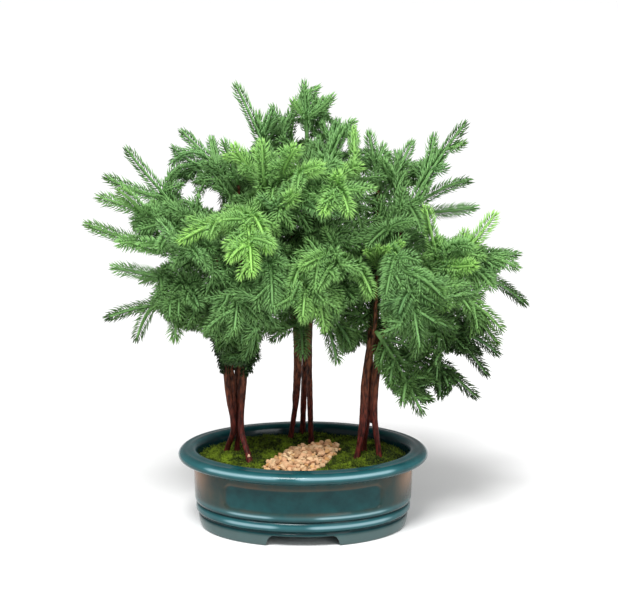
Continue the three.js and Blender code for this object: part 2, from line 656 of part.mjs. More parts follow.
// The twigs of a clump's inner boughs, which leave a climbing shoot on all sides
function layOutInnerBoughs(shoot, number) {
  const end = new THREE.Vector3(...shoot.tip);
  const { root, outward } = sprayRoot(STEMS[shoot.stem], shoot.height, end);
  const main = describeTwig(archedPath(root, end, SHOOT_RISE, CURVE_STEPS), TWIG_RADIUS, SHOOT_BARE,
    `inner twig ${number}`, INNER_PITCH);
  const spray = { main, branchlets: [], outward, number: SPRAYS.length + number };
  occupied.push(...finePlaces(main.path));
  const middle = new THREE.Vector3(...shoot.middle);
  const sizes = new THREE.Vector3(...shoot.sizes);
  let turn = number;
  for (const whorl of main.whorls) {
    const start = alongPath(main.path, whorl.at + WHORL_LENGTH / 2).place;
    const lift = LOWEST_LIFT + (LIFT_GAIN * whorl.at) / main.length;
    for (let k = 0; k < BOUGHS_A_WHORL; k += 1) {
      turn += GOLDEN_TURN;
      const ends = BOUGH_BENDS.map((bend) => {
        const direction = new THREE.Vector3(Math.cos(turn + bend), Math.sin(turn + bend), lift).normalize();
        return start.clone().addScaledVector(direction, reachInside(start, direction, middle, sizes));
      });
      addBranchlet(spray, [whorl], ends, BOUGH_RISE);
    }
  }
  return spray;
}

// The nearest distance between two straight pieces
function segmentGap(a0, a1, b0, b1) {
  const u = a1.clone().sub(a0);
  const v = b1.clone().sub(b0);
  const w = a0.clone().sub(b0);
  const uu = u.dot(u);
  const uv = u.dot(v);
  const vv = v.dot(v);
  const uw = u.dot(w);
  const vw = v.dot(w);
  const spread = uu * vv - uv * uv;
  let s = spread > 1e-9 ? THREE.MathUtils.clamp((uv * vw - vv * uw) / spread, 0, 1) : 0;
  const t = THREE.MathUtils.clamp((uv * s + vw) / vv, 0, 1);
  s = THREE.MathUtils.clamp((uv * t - uw) / uu, 0, 1);
  const pa = a0.clone().addScaledVector(u, s);
  const pb = b0.clone().addScaledVector(v, t);
  return pa.distanceTo(pb);
}

// Straight pieces of twigs, stems and needles that a new needle must not cross
const obstacles = [];

function addObstacle(from, to, radius, owner, whorl = null) {
  const middle = from.clone().add(to).multiplyScalar(0.5);
  obstacles.push({ from, to, radius, owner, whorl, middle, reach: from.distanceTo(to) / 2 + radius });
}

function needleIsClear(base, tip, owner, whorl) {
  const from = base.clone().lerp(tip, NEEDLE_ROOT_SHARE);
  if (segmentGap(from, tip, ...whorl.ahead) < BRANCHLET_RADIUS + NEEDLE_CLEARANCE) return false;
  const middle = from.clone().add(tip).multiplyScalar(0.5);
  const reach = from.distanceTo(tip) / 2 + 1;
  for (const other of obstacles) {
    if (other.owner === owner && (!other.whorl || other.whorl === whorl)) continue;
    if (other.middle.distanceTo(middle) > reach + other.reach + 1) continue;
    const needed = other.radius + NEEDLE_RADIUS + NEEDLE_CLEARANCE;
    if (segmentGap(from, tip, other.from, other.to) < needed) return false;
  }
  return true;
}

// Raises a triangle of a twig into a needle, or leaves it flat where no needle has room
function raiseNeedle(solid, face, middle, tangent, whorl, owner) {
  const corners = face.map((index) => new THREE.Vector3().fromArray(solid.vertices, 3 * index));
  const base = corners[0].clone().add(corners[1]).add(corners[2]).divideScalar(3);
  const outward = base.clone().sub(middle);
  outward.addScaledVector(tangent, -outward.dot(tangent)).normalize();
  for (const lean of [1, 0.72, 0.45]) {
    const forward = NEEDLE_FORWARD * whorl.forward + (1 - lean) * 5;
    const tip = base.clone().addScaledVector(tangent, forward)
      .addScaledVector(outward, NEEDLE_OUT * whorl.out * lean);
    if (needleIsClear(base, tip, owner, whorl.whorl)) {
      const apex = addVertex(solid, tip.x, tip.y, tip.z);
      solid.triangles.push(face[0], face[1], apex, face[1], face[2], apex, face[2], face[0], apex);
      addObstacle(base.clone().lerp(tip, NEEDLE_ROOT_SHARE), tip, NEEDLE_RADIUS, owner, whorl.whorl);
      return;
    }
  }
  solid.triangles.push(...face);
}

// Three vertices round a place on a twig, turned by an angle about its direction
function twigRing(solid, place, frame, radius, angle) {
  return [0, 1, 2].map((corner) => {
    const turn = angle + (corner * 2 * Math.PI) / 3;
    const vertex = place.clone().addScaledVector(frame.side, radius * Math.cos(turn))
      .addScaledVector(frame.lift, radius * Math.sin(turn));
    return addVertex(solid, vertex.x, vertex.y, vertex.z);
  });
}

// The sideways and upward directions across a twig, carried on from the last ring
function turnFrame(frame, tangent) {
  const side = frame.side.clone().addScaledVector(tangent, -frame.side.dot(tangent)).normalize();
  return { side, lift: new THREE.Vector3().crossVectors(tangent, side) };
}

// The six faces of the band between two rings that are turned by a sixth of a turn to each other,
// each with the angle that it looks to
function whorlFaces(ring, next, angle) {
  const faces = [];
  for (let i = 0; i < 3; i += 1) {
    const after = (i + 1) % 3;
    const lowTurn = angle + Math.PI / 3 + (i * 2 * Math.PI) / 3;
    faces.push({ face: [ring[i], ring[after], next[i]], turn: lowTurn, low: true });
    faces.push({ face: [ring[after], next[after], next[i]], turn: lowTurn + Math.PI / 3, low: false });
  }
  return faces;
}

// The size of the turn between two angles
function turnBetween(a, b) {
  return Math.abs(Math.atan2(Math.sin(a - b), Math.cos(a - b)));
}

// The faces of a whorl that look most nearly along the turns given, one face to each turn
function shareFaces(faces, turns) {
  if (turns.length === 0) return { cost: 0, chosen: [] };
  let best = null;
  for (const face of faces) {
    const rest = shareFaces(faces.filter((other) => other !== face), turns.slice(1));
    const cost = turnBetween(face.turn, turns[0]) ** 2 + rest.cost;
    if (!best || cost < best.cost) best = { cost, chosen: [face, ...rest.chosen] };
  }
  return best;
}

// Gives each branchlet of a whorl the face that looks its way
function growWhorlBranchlets(solid, faces, frame, spray, whorl, draw) {
  const turns = whorl.branchlets.map((branchlet) => {
    const wanted = branchlet.path[1].clone().sub(branchlet.path[0]);
    return Math.atan2(wanted.dot(frame.lift), wanted.dot(frame.side));
  });
  const { chosen } = shareFaces(faces, turns);
  whorl.branchlets.forEach((branchlet, i) => {
    chosen[i].taken = true;
    growBranchlet(solid, chosen[i].face, spray, branchlet, draw);
  });
}

function raiseWhorlNeedles(solid, faces, twig, whorl, draw) {
  const middle = alongPath(twig.path, whorl.at + WHORL_LENGTH / 2);
  const next = twig.whorls[twig.whorls.indexOf(whorl) + 1];
  whorl.ahead = [whorl.at + WHORL_LENGTH, next ? next.at : twig.length]
    .map((distance) => alongPath(twig.path, distance).place);
  for (const { face, low, taken } of faces) {
    if (!taken) {
      const shape = low ? { forward: 0.75, out: 1 } : { forward: 1.45, out: 0.8 };
      const vary = 0.9 + 0.2 * draw();
      raiseNeedle(solid, face, middle.place, middle.tangent,
        { forward: shape.forward * vary, out: shape.out * vary, whorl }, twig.owner);
    }
  }
}

// Grows a twig from a ring of three vertices: plain lengths, and whorls of six faces between them
function growTwig(solid, startRing, startAngle, frame, spray, twig, draw) {
  let ring = startRing;
  let angle = startAngle;
  let current = frame;
  const ringAt = (distance) => {
    const at = alongPath(twig.path, distance);
    current = turnFrame(current, at.tangent);
    return twigRing(solid, at.place, current, twig.radius * (1 - 0.35 * distance / twig.length), angle);
  };
  for (const whorl of twig.whorls) {
    const low = ringAt(whorl.at);
    joinRings(solid, [ring, low]);
    const lowAngle = angle;
    angle += Math.PI / 3;
    ring = ringAt(whorl.at + WHORL_LENGTH);
    const faces = whorlFaces(low, ring, lowAngle);
    growWhorlBranchlets(solid, faces, current, spray, whorl, draw);
    raiseWhorlNeedles(solid, faces, twig, whorl, draw);
  }
  const end = twig.path[twig.path.length - 1];
  const tip = addVertex(solid, end.x, end.y, end.z);
  for (let i = 0; i < 3; i += 1) solid.triangles.push(ring[i], ring[(i + 1) % 3], tip);
}

// Starts a branchlet from a face of its twig, with its rings lined up with the face's corners
function growBranchlet(solid, face, spray, branchlet, draw) {
  const start = alongPath(branchlet.path, 0);
  const side = new THREE.Vector3().crossVectors(start.tangent, SPRAY_UP).normalize();
  const frame = turnFrame({ side }, start.tangent);
  let alongSide = 0;
  let alongLift = 0;
  face.forEach((index, k) => {
    const corner = new THREE.Vector3().fromArray(solid.vertices, 3 * index).sub(start.place);
    const turn = Math.atan2(corner.dot(frame.lift), corner.dot(frame.side)) - (k * 2 * Math.PI) / 3;
    alongSide += Math.cos(turn);
    alongLift += Math.sin(turn);
  });
  growTwig(solid, face, Math.atan2(alongLift, alongSide), frame, spray, branchlet, draw);
}

function makeSpray(spray) {
  const draw = seededStream(500 + spray.number);
  const solid = newSolid();
  const start = alongPath(spray.main.path, 0);
  const flatSide = new THREE.Vector3().crossVectors(spray.outward, SPRAY_UP).normalize();
  const rootFrame = turnFrame({ side: flatSide }, spray.outward);
  const rootRing = twigRing(solid, start.place, rootFrame, TWIG_RADIUS, Math.PI / 2);
  solid.triangles.push(rootRing[2], rootRing[1], rootRing[0]);
  growTwig(solid, rootRing, Math.PI / 2, turnFrame(rootFrame, start.tangent), spray, spray.main, draw);
  return toGeometry(solid);
}

// Every stem and twig as straight pieces, before any needle is raised
function markObstacles(sprays) {
  for (const [name, stem] of Object.entries(STEMS)) {
    const top = stem.knots[stem.knots.length - 1][2];
    for (let height = SOIL_TOP; height < top; height += 12) {
      const above = Math.min(height + 12, top);
      addObstacle(stemPlace(stem, height), stemPlace(stem, above), stemRadius(stem, height), name);
    }
  }
  for (const spray of sprays) {
    for (const twig of [spray.main, ...spray.branchlets]) {
      for (let k = 0; k + 1 < twig.path.length; k += 1) {
        const isRoot = twig !== spray.main && k === 0;
        const from = isRoot ? alongPath(twig.path, ROOT_HIDDEN).place : twig.path[k];
        addObstacle(from, twig.path[k + 1], twig.radius, twig.owner);
      }
    }
  }
}

const MATERIALS = {
  glaze: new THREE.MeshStandardMaterial({ color: 0x235a60, roughness: 0.18, metalness: 0 }),
  soil: new THREE.MeshStandardMaterial({ color: 0x2a2019, roughness: 0.95, metalness: 0 }),
  moss: new THREE.MeshStandardMaterial({ color: 0x3f5a1c, roughness: 0.95, metalness: 0 }),
  gravel: new THREE.MeshStandardMaterial({ color: 0xd9b48c, roughness: 0.8, metalness: 0 }),
  bark: new THREE.MeshStandardMaterial({ color: 0x4a2018, roughness: 0.75, metalness: 0 }),
  needles: new THREE.MeshStandardMaterial({ color: 0x3f8a3c, roughness: 0.55, metalness: 0 }),
  screen: new THREE.MeshStandardMaterial({ color: 0x1c1c1c, roughness: 0.6, metalness: 0 }),
};

// The clump that a stem belongs to
function clumpOf(stemName) {
  return stemName.split('_')[0];
}

function namedMesh(name, geometry, material) {
  const mesh = new THREE.Mesh(geometry, material);
  mesh.name = name;
  return mesh;
}

// Keeps twigs clear of the stems from below the lowest spray up
function occupyStems() {
  for (const stem of Object.values(STEMS)) {
    const top = stem.knots[stem.knots.length - 1][2];
    for (let height = LOWEST_TWIG; height <= top; height += GAP_STEP) occupied.push(stemPlace(stem, height));
  }
}

function buildForest() {
  const layout = new THREE.Group();
  layout.add(namedMesh('pot', makePot(), MATERIALS.glaze));
  layout.add(namedMesh('drain_screen_left', makeDrainScreen(-1), MATERIALS.screen));
  layout.add(namedMesh('drain_screen_right', makeDrainScreen(1), MATERIALS.screen));
  layout.add(namedMesh('soil', makeSoil(), MATERIALS.soil));
  layout.add(namedMesh('moss', makeMoss(), MATERIALS.moss));
  layout.add(namedMesh('gravel', makeGravel(), MATERIALS.gravel));
  for (const [name, stem] of Object.entries(STEMS)) {
    layout.add(namedMesh(`stem_${name}`, makeStem(stem), MATERIALS.bark));
  }
  occupyStems();
  const sprays = SPRAYS.map((row, i) => layOutSpray(row, i));
  const inner = INNER_SHOOTS.map((shoot, i) => layOutInnerBoughs(shoot, i));
  markObstacles([...sprays, ...inner]);
  sprays.forEach((spray, i) => {
    const name = `spray_${clumpOf(SPRAYS[i][0])}_${String(i + 1).padStart(2, '0')}`;
    layout.add(namedMesh(name, makeSpray(spray), MATERIALS.needles));
  });
  inner.forEach((spray, i) => {
    const name = `inner_foliage_${clumpOf(INNER_SHOOTS[i].stem)}`;
    layout.add(namedMesh(name, makeSpray(spray), MATERIALS.needles));
  });
  return layout;
}

const forest = new THREE.Group();
const layout = buildForest();
layout.updateMatrixWorld(true);
const box = new THREE.Box3().setFromObject(layout, true);
layout.position.set(-(box.min.x + box.max.x) / 2, -(box.min.y + box.max.y) / 2, -box.min.z);
forest.add(layout);

export default forest;
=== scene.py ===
import math

import bpy
import numpy as np
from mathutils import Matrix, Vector, noise


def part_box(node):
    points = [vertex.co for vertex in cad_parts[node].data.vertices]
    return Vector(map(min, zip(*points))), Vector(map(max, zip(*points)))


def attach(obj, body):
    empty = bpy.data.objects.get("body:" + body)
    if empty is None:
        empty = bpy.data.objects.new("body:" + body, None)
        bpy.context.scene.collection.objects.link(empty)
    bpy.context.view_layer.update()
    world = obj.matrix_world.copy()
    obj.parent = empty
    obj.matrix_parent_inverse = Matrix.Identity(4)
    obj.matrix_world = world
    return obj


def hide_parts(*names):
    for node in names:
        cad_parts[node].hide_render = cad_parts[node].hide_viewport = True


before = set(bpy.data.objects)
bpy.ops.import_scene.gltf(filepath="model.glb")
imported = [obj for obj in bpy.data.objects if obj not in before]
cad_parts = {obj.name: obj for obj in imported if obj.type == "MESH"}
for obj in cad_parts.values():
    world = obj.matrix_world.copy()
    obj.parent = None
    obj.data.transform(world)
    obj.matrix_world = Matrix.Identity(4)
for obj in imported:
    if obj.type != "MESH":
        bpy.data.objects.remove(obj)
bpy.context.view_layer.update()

# Shapes are worked out in millimetres about the pot's centre at table height, and every mesh is
# then written in metres at the place that the frame gives the pot.
MM = 0.001
POT_LOW, POT_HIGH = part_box("pot")
POT_CENTRE = np.array([(POT_LOW.x + POT_HIGH.x) / 2, (POT_LOW.y + POT_HIGH.y) / 2, POT_LOW.z])
POT_HALF_LENGTH = (POT_HIGH.x - POT_LOW.x) / 2 / MM
POT_HALF_WIDTH = (POT_HIGH.y - POT_LOW.y) / 2 / MM

# Farther than any two places on the part lie from each other
FAR_AWAY = 1e3

# The pot's wall: half-width lost from the lip's widest line, and height, from under the floor to inside
FLOOR_UNDERSIDE = 12.0
FLOOR_TOP = 18.0
POT_PROFILE = [
    (30, FLOOR_UNDERSIDE), (31, 0), (23.5, 0), (21.3, 3), (19.6, 12), (20.6, 15), (17.4, 18.5),
    (17.4, 23.5), (18.9, 26.5), (16.2, 30.5), (15.3, 60), (14.7, 67), (6, 69.2), (0.8, 72.4),
    (0, 76.5), (3.4, 80.3), (8, 81), (19.2, 76.6), (24, 24), (32, FLOOR_TOP),
]

# The height where the wall's straight part starts, the rows of points in it and in the other parts, and
# the hand-made unevenness of the pot, with its size and the height that it starts from
WALL_FROM = 30.5
WALL_ROWS = 30
EASED_ROWS = 4
WOBBLE, WOBBLE_SIZE, WOBBLE_FROM = 0.25, 34.0, 1

# The arches in the foot ring and the recessed panels, at the front and the back
ARCH_HALF_WIDTH = 36.5
ARCH_TOP = 11.6
ARCH_CORNER = 7.0
ARCH_ZONE = 12.5
PANEL_HALF_WIDTH = 79.0
PANEL_BOTTOM = 35.0
PANEL_TOP = 60.5
PANEL_CORNER = 8.0
PANEL_DEPTH = 1.5
PANEL_EDGE = 1.1
PANEL_ZONE = (28, 66)

# Directions round the pot, and closer ones where an arch or a panel ends: its half width, how far in the
# wall is there, and the first and last place beside its end, and how many
POT_DIRECTIONS = 144
CLOSE_DIRECTIONS = [(ARCH_HALF_WIDTH, 21.0, (-7, 2, 10)), (PANEL_HALF_WIDTH, 16.0, (-9, 2, 12))]

# The glaze: its pale crests, where it breaks thin, each with a height, half width, strength and the
# stretches that get a painted highlight, the painted shade in its grooves, each with a height and half
# width, and how the foot, the inside with a painted highlight at its rim and painted shade below, the
# panel's edge and the pot's ends, brown with clay and a painted reflection, differ
CRESTS_AND_HIGHLIGHTS = [(21.5, 3.2, 0.62, [(-78, -25), (5, 88)]), (31.5, 2.4, 0.6, [(-75, -30), (12, 84)]),
                (77.5, 2.8, 0.5, [(-98, -22), (-8, 92)])]
HIGHLIGHT_EDGE = 9
GROOVE_SHADES = [(26.5, 1.4), (14.6, 1.6)]
FOOT_CREST = 0.6
FOOT_HEIGHTS = (13.5, 9)
INNER_RIM_HIGHLIGHT = (80.2, 0.9)
INNER_HIGHLIGHT_STRENGTH = 0.9
INNER_WALL_SHADE = 0.95
INNER_HEIGHTS = (79.5, 77)
PANEL_LINE = 1.6
BARE_HEIGHTS = (29, 33)
END_TURNS = (0.8, 0.98)
END_HEIGHTS = (34, 62)
FOOT_CLAY = 0.28
TOP_LINE = 0.2
TOP_LINE_WIDTH = 0.9
TOP_LINE_HEIGHTS = (54, 60)

# The moss, the gravel's outline from above, the moss's rings and spokes of points, how it drops at its
# rim and under the gravel, and the tufts
MOSS_TOP = 74.0
MOSS_EDGE = 71.8
MOSS_INSET = 19.9
GRAVEL_PLAN = [(-44, -47), (-34, -22), (-21, 6), (-8, 24), (8, 31), (26, 40), (36, 40), (39, 14),
               (30, -18), (18, -48), (12, -64), (-14, -69), (-32, -62)]
MOSS_RINGS, MOSS_SPOKES, MOSS_MIDDLE = 74, 230, 0.0004
MOSS_DROP, MOSS_DROP_SHARES = 1.5, (0.86, 1.0)
HOLLOW, HOLLOW_EDGE = 4.0, (-1.5, 3.5)
MOSS_TUFTS = 9000
TUFT_HEIGHTS = (1.4, 3.6)
TUFT_WIDTHS = (0.35, 0.7)
TUFT_LEAN = 0.55
TUFT_DEPTH = 0.4
TUFT_UNEVEN = 0.34
TUFTS_REACH = 0.985
TUFTS_UNDER_GRAVEL = 1.5

# The moss's mounds, broad and fine, with their heights and how far they run across and back, bumps over
# the ground and patches of bright moss, each with a strength, size and seed, how much the moss's left end
# and the gravel's edge lighten it, how much painted shade darkens its right end and its rim, and where
BROAD_MOUND, BROAD_ACROSS, BROAD_BACK, BROAD_SHIFT = 1.5, 13, 11, 0.6
FINE_MOUND, FINE_ACROSS, FINE_BACK = 1.1, 7.3, 9.1
GROUND_BUMPS = [(1.9, 9.0, 3.1), (1.4, 3.6, 8.2), (0.8, 1.7, 5.0)]
BRIGHT_PATCHES = [(1.7, 15.0, 1.7), (1.6, 5.0, 6.3), (1.0, 2.2, 2.9)]
PLAIN_PATCH, PATCH_LIGHT = 0.28, 0.70
LEFT_LIGHT, LEFT_END = 0.46, (-60, -96)
RIGHT_SHADE, RIGHT_END = 0.46, (60, 100)
GRAVEL_LIGHT, GRAVEL_BAND = 0.28, (-7, 8.0)
RIM_SHADE, RIM_SHARES = 0.3, (0.88, 0.99)

# Pebbles: how far apart and how big they are, the chips struck off each, where the rows of the bed lie,
# and the inset, rise and shift of each layer of the heap
PEBBLE_SPACING = 6.6
PEBBLE_RADII = (2.6, 4.7)
PEBBLE_SHIFT = 1.1
PEBBLES_LEFT_OUT = 0.05
PEBBLE_CHIPS = 7
CHIP_DEPTHS = (0.45, 0.72)
PEBBLE_STRETCHES = ([0.8, 0.7, 0.5], [1.25, 1.0, 0.8])
PEBBLE_TILT = 0.35
BED_ACROSS, BED_BACK = (-50, 44), (-74, 46)
ROW_SHARE = 0.86
BED_DEPTH, BED_UNEVEN = 1.8, 0.5
LAYER_INSETS = (1.0, 3.0, 8.5)
LAYER_RISE = 2.5
LAYER_SHIFT = (1.7, -2.1)

# The stems' bark: its sides and rows, the heights where it thickens and thins, the cap on top, the flare
# at the foot, how a strand swells from its own foot, its roughness and ridges, and where crimson turns
# to brown
STEM_SIDES = 5
BARK_SIDES = 14
BARK_STEP = 3.0
BARK_FOOT = 8.0
BARK_THICKNESS = 0.6
BARK_CAP = 0.8
BARK_THICKENS, BARK_THINS = (80, 112), (260, 200)
ROOT_FLARE, FLARE_FOOT, FLARE_HEIGHT = 1.2, 72, 4.5
STRAND_FOOT, STRAND_SWELL = 0.35, (-2, 16)
ROUGH_SIZE, ROUGH_SEED, ROUGH_DEPTH, ROUGH_STRETCH = 2.4, 4.0, 0.32, (1, 1, 0.3)
RIDGES, RIDGE_TWIST, RIDGE_DEPTH = 5, 17, 0.22
CRIMSON_HEIGHTS = (200, 90)

# Stems: places along each stem from its foot to its top, and its radius at the foot and the top
STEM_FOOT = 50.0
STEMS = {
    "left_1": ([(-80, 3, STEM_FOOT), (-78, 4, 76), (-70.5, -7, 103), (-76, -9, 145), (-80, -8, 200),
                (-84, -4, 260), (-87, -1, 290)], (2.7, 1.8)),
    "left_2": ([(-69, 9, STEM_FOOT), (-68, 6, 76), (-66, -1, 103), (-67, 2, 145), (-65, 8, 200),
                (-62, 10, 280), (-64, 8, 350)], (2.6, 1.6)),
    "left_3": ([(-52, -31, STEM_FOOT), (-54, -29, 76), (-62.5, -13, 103), (-60, -14, 145),
                (-55, -20, 200), (-50, -26, 260), (-48, -29, 300)], (2.8, 1.8)),
    "middle_1": ([(-14, 54, STEM_FOOT), (-13, 53, 76), (-6, 36, 130), (-3.5, 22, 192), (-9, 20, 260),
                  (-16, 20, 330)], (2.5, 1.7)),
    "middle_2": ([(-1, 66, STEM_FOOT), (-1, 66, 76), (1, 50, 130), (2.5, 32, 192), (3, 32, 260),
                  (4, 30, 330), (4, 26, 392)], (2.8, 1.7)),
    "middle_3": ([(9, 41, STEM_FOOT), (8, 40, 76), (7, 27, 130), (6.5, 18, 192), (11, 12, 260),
                  (16, 6, 332)], (2.6, 1.7)),
    "right_1": ([(54, -14, STEM_FOOT), (55, -13, 76), (62, -11, 115), (64.5, -12, 160), (71, -14, 204),
                 (73, -14, 276)], (2.8, 1.7)),
    "right_2": ([(61, 11, STEM_FOOT), (62, 9, 76), (66, -1, 115), (68, 0, 160), (68, 6, 204),
                 (74, 12, 270), (75, 14, 344)], (2.5, 1.7)),
    "right_3": ([(79, -13, STEM_FOOT), (77, -13, 76), (72.5, -11, 115), (74.5, -10, 160),
                 (81, -8, 204), (90, -6, 260), (97, -4, 308)], (2.7, 1.7)),
}

# Strands of bark that run up between the stems and join them into one bundle
STRANDS = {
    "left_1": ([(-68.5, -5, 106), (-71, -5, 140), (-73.5, -2, 175), (-74, 0, 204)], (2.9, 3.2)),
    "left_2": ([(-63.5, -6, 112), (-63.5, -6, 148), (-61.5, -6, 180), (-60.5, -6, 204)], (2.5, 2.7)),
    "middle_1": ([(-10.5, 43, 110), (-8.2, 35, 135), (-7.6, 24, 185), (-11, 20, 230)], (2.1, 2.5)),
    "right_1": ([(55.5, -14, 88), (59, -12.5, 112), (61, -12.5, 155), (67, -14.5, 200)], (2.3, 2.3)),
    "right_2": ([(69, -6, 108), (71, -6, 150), (74, -6, 182), (76, -6, 206)], (2.3, 2.5)),
}

# Sprays: stem, height on it, tip, how far the middle arches, the same for its side twigs, and where
# along the main twig each side twig leaves and its tip, or one length where a rule places them.
# A spray set at its stem's top carries the stem on.
SPRAYS = [
    ("left_1", 290, (-176, 10, 387), -5, -3,
     [(0.5, -197, 0, 360), (0.5, -130, 25, 361), (0.42, -155, 35, 322)]),
    ("left_1", 283, (-201, -30, 344), 7, 2,
     [(0.45, -170, -10, 316), (0.3, -138, -55, 296), (0.62, -177, -55, 354)]),
    ("left_1", 274, (-216, -10, 314), -3, 2,
     [(0.45, -180, -45, 300), (0.34, -157, -60, 301), (0.4, -161, 20, 320)]),
    ("left_2", 338, (-125, 65, 397), 4, -2,
     [(0.42, -133, 50, 383), (0.2, -134, 40, 364), (0.3, -95, 85, 388)]),
    ("left_2", 324, (19, -95, 383), 6, -3,
     [(0.14, -67, -45, 398), (0.32, -39, -65, 404), (0.5, -5, -85, 400), (0.4, -6, -95, 359)]),
    ("left_2", 286, (-47, -120, 283), 44, 5,
     [(0.42, -118, -80, 308), (0.55, -32, -100, 301), (0.72, -69, -118, 297)]),
    ("left_1", 244, (-190, -20, 272), 2, 5,
     [(0.5, -137, -45, 240), (0.28, -99, -75, 243), (0.42, -165, 25, 248)]),
    ("left_1", 221, (-199, 0, 215), 12, 8, [(0.62, -167, -15, 195), (0.34, -125, -50, 203)]),
    ("left_3", 204, (-100, -52, 216), 14, 5, []),
    ("left_3", 232, (-65, -98, 222), 36, 5,
     [(0.45, -85, -85, 232), (0.5, -43, -90, 225), (0.7, -26, -80, 226)]),
    ("left_3", 168, (-45, -36, 181), 10, 2, []),
    ("left_2", 350, (-78, -8, 397), 2, -4, [(0.55, -58, 20, 381), (0.3, -91, 35, 371)]),
    ("left_3", 300, (38, -64, 366), 11, 2,
     [(0.35, -26, -80, 347), (0.55, 18, -90, 339), (0.7, 38, -60, 378)]),
    ("left_2", 268, (-140, 98, 312), 10, 4, 44),
    ("left_2", 228, (-104, 118, 238), 26, 6, 44),
    ("left_2", 300, (-42, 128, 322), 24, 6, 42),
    ("middle_1", 330, (-67, 15, 450), 4, -3,
     [(0.45, -45, 30, 421), (0.25, -57, -20, 378), (0.6, -30, 12, 426)]),
    ("middle_2", 352, (-32, 50, 425), 0, -3, [(0.5, -19, 62, 411), (0.35, -42, 75, 386)]),
    ("middle_2", 392, (1, 20, 452), 0, -3, [(0.3, -11, 12, 435), (0.8, 17, 28, 446), (0.14, 31, 8, 440)]),
    ("middle_3", 332, (53, 0, 414), 20, 4, [(0.9, 51, -8, 386), (0.3, 35, 18, 415), (0.2, 15, -30, 380)]),
    ("middle_3", 306, (44, -98, 336), 34, 4,
     [(0.62, 19, -102, 338), (0.45, 33, -80, 374), (0.35, 58, -50, 376)]),
    ("middle_3", 262, (0, -110, 238), 30, 5,
     [(0.5, 11, -95, 240), (0.6, 21, -88, 223), (0.45, -12, -100, 256)]),
    ("middle_1", 254, (-43, -105, 249), 40, 5, [(0.6, -28, -112, 247), (0.42, -37, -92, 303)]),
    ("middle_1", 206, (0, -42, 185), 14, 4, [(0.3, -33, -25, 198)]),
    ("middle_3", 240, (51, -66, 248), 12, 3, [(0.5, 30, -70, 231), (0.4, 49, -54, 268)]),
    ("middle_3", 218, (34, -50, 181), 20, 5, [(0.5, 22, -60, 217), (0.45, 48, -45, 196)]),
    ("middle_2", 296, (52, 140, 330), 18, 4, 44),
    ("middle_1", 290, (-66, 138, 286), 30, 8, 42),
    ("right_2", 344, (65, 10, 404), 0, -2, [(0.35, 81, 22, 390), (0.3, 54, -10, 387)]),
    ("right_2", 328, (111, 42, 390), 0, -2, [(0.35, 97, 70, 353), (0.25, 95, 60, 377), (0.35, 78, 2, 376)]),
    ("right_3", 308, (161, 0, 413), 8, -2,
     [(0.42, 130, 12, 401), (0.75, 160, -4, 395), (0.52, 142, -14, 372)]),
    ("right_2", 290, (173, 60, 346), 14, -2, [(0.42, 177, 35, 323)]),
    ("right_3", 282, (189, -22, 327), -28, -3,
     [(0.52, 162, 0, 307), (0.42, 167, -60, 283), (0.3, 120, -20, 334)]),
    ("right_3", 256, (217, 0, 281), 7, 2,
     [(0.7, 214, -16, 269), (0.5, 189, -30, 251), (0.4, 165, -50, 295)]),
    ("right_3", 232, (227, 20, 224), 34, 4, [(0.45, 177, -25, 236)]),
    ("right_3", 243, (196, -50, 214), 22, 4, [(0.6, 194, -35, 197), (0.35, 136, -95, 247)]),
    ("right_3", 200, (189, 14, 151), 28, 4, [(0.55, 199, 2, 176), (0.3, 149, -50, 215)]),
    ("right_3", 182, (176, -10, 135), 14, 4,
     [(0.5, 137, -25, 138), (0.3, 122, -50, 193), (0.6, 150, -24, 166)]),
    ("right_1", 206, (118, -60, 132), 4, 4,
     [(0.55, 97, -72, 145), (0.3, 85, -55, 158), (0.5, 127, -50, 165)]),
    ("right_1", 264, (111, -112, 209), 52, 5,
     [(0.5, 134, -112, 259), (0.62, 89, -118, 243), (0.4, 78, -100, 256)]),
    ("right_1", 254, (-2, -98, 287), 18, 4,
     [(0.2, 67, -85, 256), (0.62, -37, -100, 303), (0.5, 14, -102, 267)]),
    ("right_2", 258, (120, 122, 300), 16, 6, 44),
]

# Inner boughs: the stem and height that a clump's young shoot climbs from, its tip, and the middle and
# half sizes of the egg-shaped space that its boughs fill
INNER_SHOOTS = [
    ("left_2", 212, (-72, -12, 332), (-85, -5, 275), (70, 84, 92)),
    ("middle_3", 222, (0, -6, 364), (2, 8, 312), (58, 84, 100)),
    ("right_2", 208, (84, 2, 328), (112, -5, 250), (70, 84, 84)),
]

# The rule that lays the twigs out
WHORL_LENGTH = 3.0
WHORL_PITCH = 21.5
TIP_LENGTH = 11.5
ROOT_GAP = 0.44
BRANCHLET_ANGLE = 0.92
ANGLE_RANGE = 0.24
LEAST_SHARE, SHARE_RANGE = 0.88, 0.24
BARE_SHARE = 0.34
RULE_PAIRS = ((0.34, 1.0), (0.6, 0.78))
TWIG_CLEARANCE = 5.0
GAP_STEP = 4
ROOT_FREE = 14
CROWDED = 0.6
ALONG_MAIN = 0.88
LOWEST_TWIG, TOP_COUNTED = 150, 0.01
TURNS = (0, 4, -4, 8, -8, 12, -12, 18, -18)
CURVE_STEPS = 16
BRANCHLET_STEPS = 6

# The rule that lays the inner boughs out
SHOOT_RISE = -26
SHOOT_BARE = 14
INNER_PITCH = 19
BOUGHS_A_WHORL = 2
BOUGH_RISE = 5
LOWEST_LIFT = -0.25
LIFT_GAIN = 0.7
BOUGH_BENDS = (0, 0.25, -0.25, 0.5, -0.5)
GOLDEN_TURN = 2.399963

